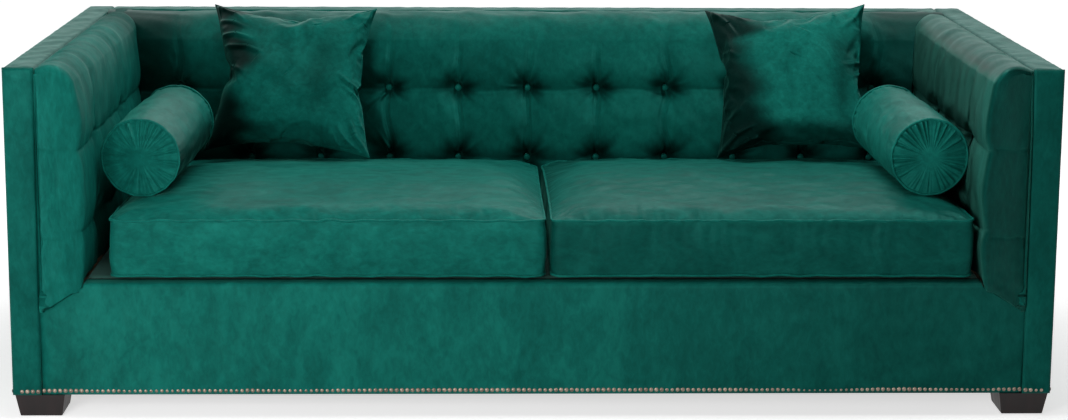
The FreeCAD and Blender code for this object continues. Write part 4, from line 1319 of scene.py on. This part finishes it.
def settle(obj):
    """Blows the pillow up as cloth; the object then has a new mesh of that shape."""
    cloth = obj.modifiers.new("Cloth", "CLOTH")
    settings = cloth.settings
    settings.quality = 5
    settings.mass = 0.25
    settings.tension_stiffness = 25
    settings.compression_stiffness = 25
    settings.shear_stiffness = 6
    settings.bending_stiffness = 2.5
    settings.air_damping = 4
    settings.use_pressure = True
    settings.uniform_pressure_force = 4.5
    settings.effector_weights.gravity = 0.0
    cloth.collision_settings.use_self_collision = False
    scene = bpy.context.scene
    cloth.point_cache.frame_start = 1
    cloth.point_cache.frame_end = CLOTH_FRAMES
    for step in range(1, CLOTH_FRAMES + 1):
        scene.frame_set(step)
    apply_modifiers(obj)
    scene.frame_set(1)


def apply_modifiers(obj):
    """Gives the object a new mesh, shaped by its modifiers."""
    graph = bpy.context.evaluated_depsgraph_get()
    done = bpy.data.meshes.new_from_object(obj.evaluated_get(graph))
    obj.modifiers.clear()
    obj.data = done
    done.polygons.foreach_set("use_smooth", [True] * len(done.polygons))


# Inside pieces that only show with the cushions off


def rectangle(x0, x1, y0, y1, z):
    """Corners of a level rectangle; y0 above y1 makes it face down."""
    return [(x0, y0, z), (x1, y0, z), (x1, y1, z), (x0, y1, z)]


def hidden_pieces():
    """Deck pad, dust cover and the webbing behind the back pad."""
    verts, faces = slab(rectangle(-0.964, 0.964, -0.468, 0.440, DECK_TOP),
                        (0, 0, -0.017), 0.012, 0.006, 0.0, 0.0004, 61, 0.2)
    deck = add_piece("deck_cloth_pad", verts, faces, MATERIALS["deck_cloth"], "frame", "deck_cloth")
    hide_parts("deck_pad")
    cover = slab(rectangle(-1.005, 1.005, 0.5, -0.5, 0.0545),
                 (0, 0, 0.001), 0.02, 0.0005, 0.0, 0.0002, 62, 0.3)
    dust = add_piece("dust_cover_cloth", *cover, MATERIALS["cambric"], "frame", "cambric")
    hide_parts("dust_cover")
    half, rear, low, high = 0.030, BACK_REAR + 0.001, PAD_FOOT, 0.748
    straps = []
    for k, x in enumerate((-0.870, -0.660, -0.396, -0.132, 0.132, 0.396, 0.660, 0.870)):
        straps.append(slab(
            [(x - half, rear, low), (x + half, rear, low), (x + half, rear, high), (x - half, rear, high)],
            (0, 0.002, 0), 0.012, 0.0008, 0.0, 0.0002, 63 + k, 0.1))
    web = add_piece("back_webbing_straps", *join(*straps), MATERIALS["webbing"], "frame", "webbing")
    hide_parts("back_webbing")


def dress_solids():
    """Materials for the solids that stay as they are."""
    slots = {row["node"]: row["material_slot"] for row in frame["record"]["subparts"]}
    for node, obj in frame["nodes"].items():
        slot = slots[node]
        material = VELVET_TRIM if slot == "velvet" else MATERIALS[slot]
        obj.data.materials.clear()
        obj.data.materials.append(material)


# Stage


def seen_directly(nodes, links):
    """1 for what the camera sees straight, in a mirror or through glass."""
    paths = nodes.new("ShaderNodeLightPath").outputs
    seen = add_math(nodes, links, "MAXIMUM", paths["Is Camera Ray"], paths["Is Glossy Ray"])
    return add_math(nodes, links, "MAXIMUM", seen, paths["Is Transmission Ray"])


def stage():
    """White floor that glows a little less near the sofa, in a white room that lights almost nothing."""
    size = 40.0
    floor = new_object("floor", rectangle(-size, size, -size, size, 0), [(0, 1, 2, 3)])
    material, nodes, links = new_material("floor_white")
    diffuse = add_node(nodes, links, "BsdfDiffuse", {"Color": (0.80, 0.80, 0.80, 1.0)})
    squeezed = add_mapping(nodes, links, (1.0 / 1.9, 1.0 / 1.25, 1.0))
    away = add_node(nodes, links, "VectorMath", {0: squeezed}, "LENGTH")
    reach = add_node(nodes, links, "MapRange", {
        "Value": away.outputs["Value"], "From Min": 0.6, "From Max": 1.6, "To Min": 0.62, "To Max": 1.0,
    })
    strength = add_math(nodes, links, "MULTIPLY", seen_directly(nodes, links), reach.outputs["Result"])
    glow = add_node(nodes, links, "Emission", {"Color": WHITE, "Strength": strength})
    both = add_node(nodes, links, "AddShader", {0: diffuse.outputs["BSDF"], 1: glow.outputs["Emission"]})
    add_node(nodes, links, "OutputMaterial", {"Surface": both.outputs["Shader"]})
    floor.data.materials.append(material)
    world = bpy.data.worlds.new("studio")
    bpy.context.scene.world = world
    world.use_nodes = True
    nodes = world.node_tree.nodes
    links = world.node_tree.links
    nodes.clear()
    ambient = add_node(nodes, links, "Background", {"Color": WHITE, "Strength": 0.05})
    white = add_node(nodes, links, "Background", {"Color": WHITE})
    mix = add_node(nodes, links, "MixShader", {
        "Fac": seen_directly(nodes, links),
        1: ambient.outputs["Background"],
        2: white.outputs["Background"],
    })
    add_node(nodes, links, "OutputWorld", {"Surface": mix.outputs["Shader"]})


WHITE = (1.0, 1.0, 1.0, 1.0)

# Each lamp's place, target, size and power in watts
LAMPS = {
    "key_front_right": ((1.6, -4.2, 2.4), (0.0, 0.0, 0.4), (1.2, 1.2), 9.0),
    "near_left": ((-1.5, -2.9, 1.0), (-0.6, 0.0, 0.3), (1.0, 0.8), 38.0),
    "low_left": ((-3.2, -2.2, 0.8), (0.0, 0.0, 0.4), (1.2, 1.0), 12.0),
    "top": ((0.1, -0.4, 3.2), (0.0, 0.0, 0.3), (1.8, 1.0), 42.0),
    "top_rear": ((0.2, 1.4, 3.0), (0.0, 0.0, 0.3), (2.2, 1.0), 22.0),
}


def lamps():
    for name, (place, target, size, power) in LAMPS.items():
        light = bpy.data.lights.new(name, "AREA")
        light.shape = "RECTANGLE"
        light.size = size[0]
        light.size_y = size[1]
        light.energy = power
        obj = bpy.data.objects.new(name, light)
        way = Vector(target) - Vector(place)
        obj.matrix_world = Matrix.Translation(place) @ way.to_track_quat("-Z", "Y").to_matrix().to_4x4()
        bpy.context.scene.collection.objects.link(obj)


def camera():
    """The photo's camera, fitted to the sofa's straight edges."""
    yaw = math.radians(1.48)
    pitch = math.radians(11.18)
    roll = math.radians(0.34)
    ahead = Vector((math.sin(yaw) * math.cos(pitch), math.cos(yaw) * math.cos(pitch), -math.sin(pitch)))
    right = ahead.cross(Vector(UP)).normalized()
    up = right.cross(ahead)
    across = right * math.cos(roll) + up * math.sin(roll)
    upward = up * math.cos(roll) - right * math.sin(roll)
    turn = Matrix((across, upward, -ahead)).transposed().to_4x4()
    data = bpy.data.cameras.new("camera")
    data.sensor_width = 36.0
    data.lens = data.sensor_width * FOCAL_PIXELS / PHOTO_WIDTH
    data.shift_y = SHIFT_PIXELS / PHOTO_WIDTH
    obj = bpy.data.objects.new("camera", data)
    obj.matrix_world = Matrix.Translation((-0.120, -4.986, 1.459)) @ turn
    bpy.context.scene.collection.objects.link(obj)
    bpy.context.scene.camera = obj


bpy.context.scene.view_settings.view_transform = "Standard"
camera()
lamps()
stage()
dress_solids()
inside_back()
buttons()
for arm in ("left", "right"):
    inside_arm(arm)
outer_wall()
front_apron()
for half in ("left", "right"):
    seat_cushion(half)
    bolster(half)
    pillow(half)
hidden_pieces()
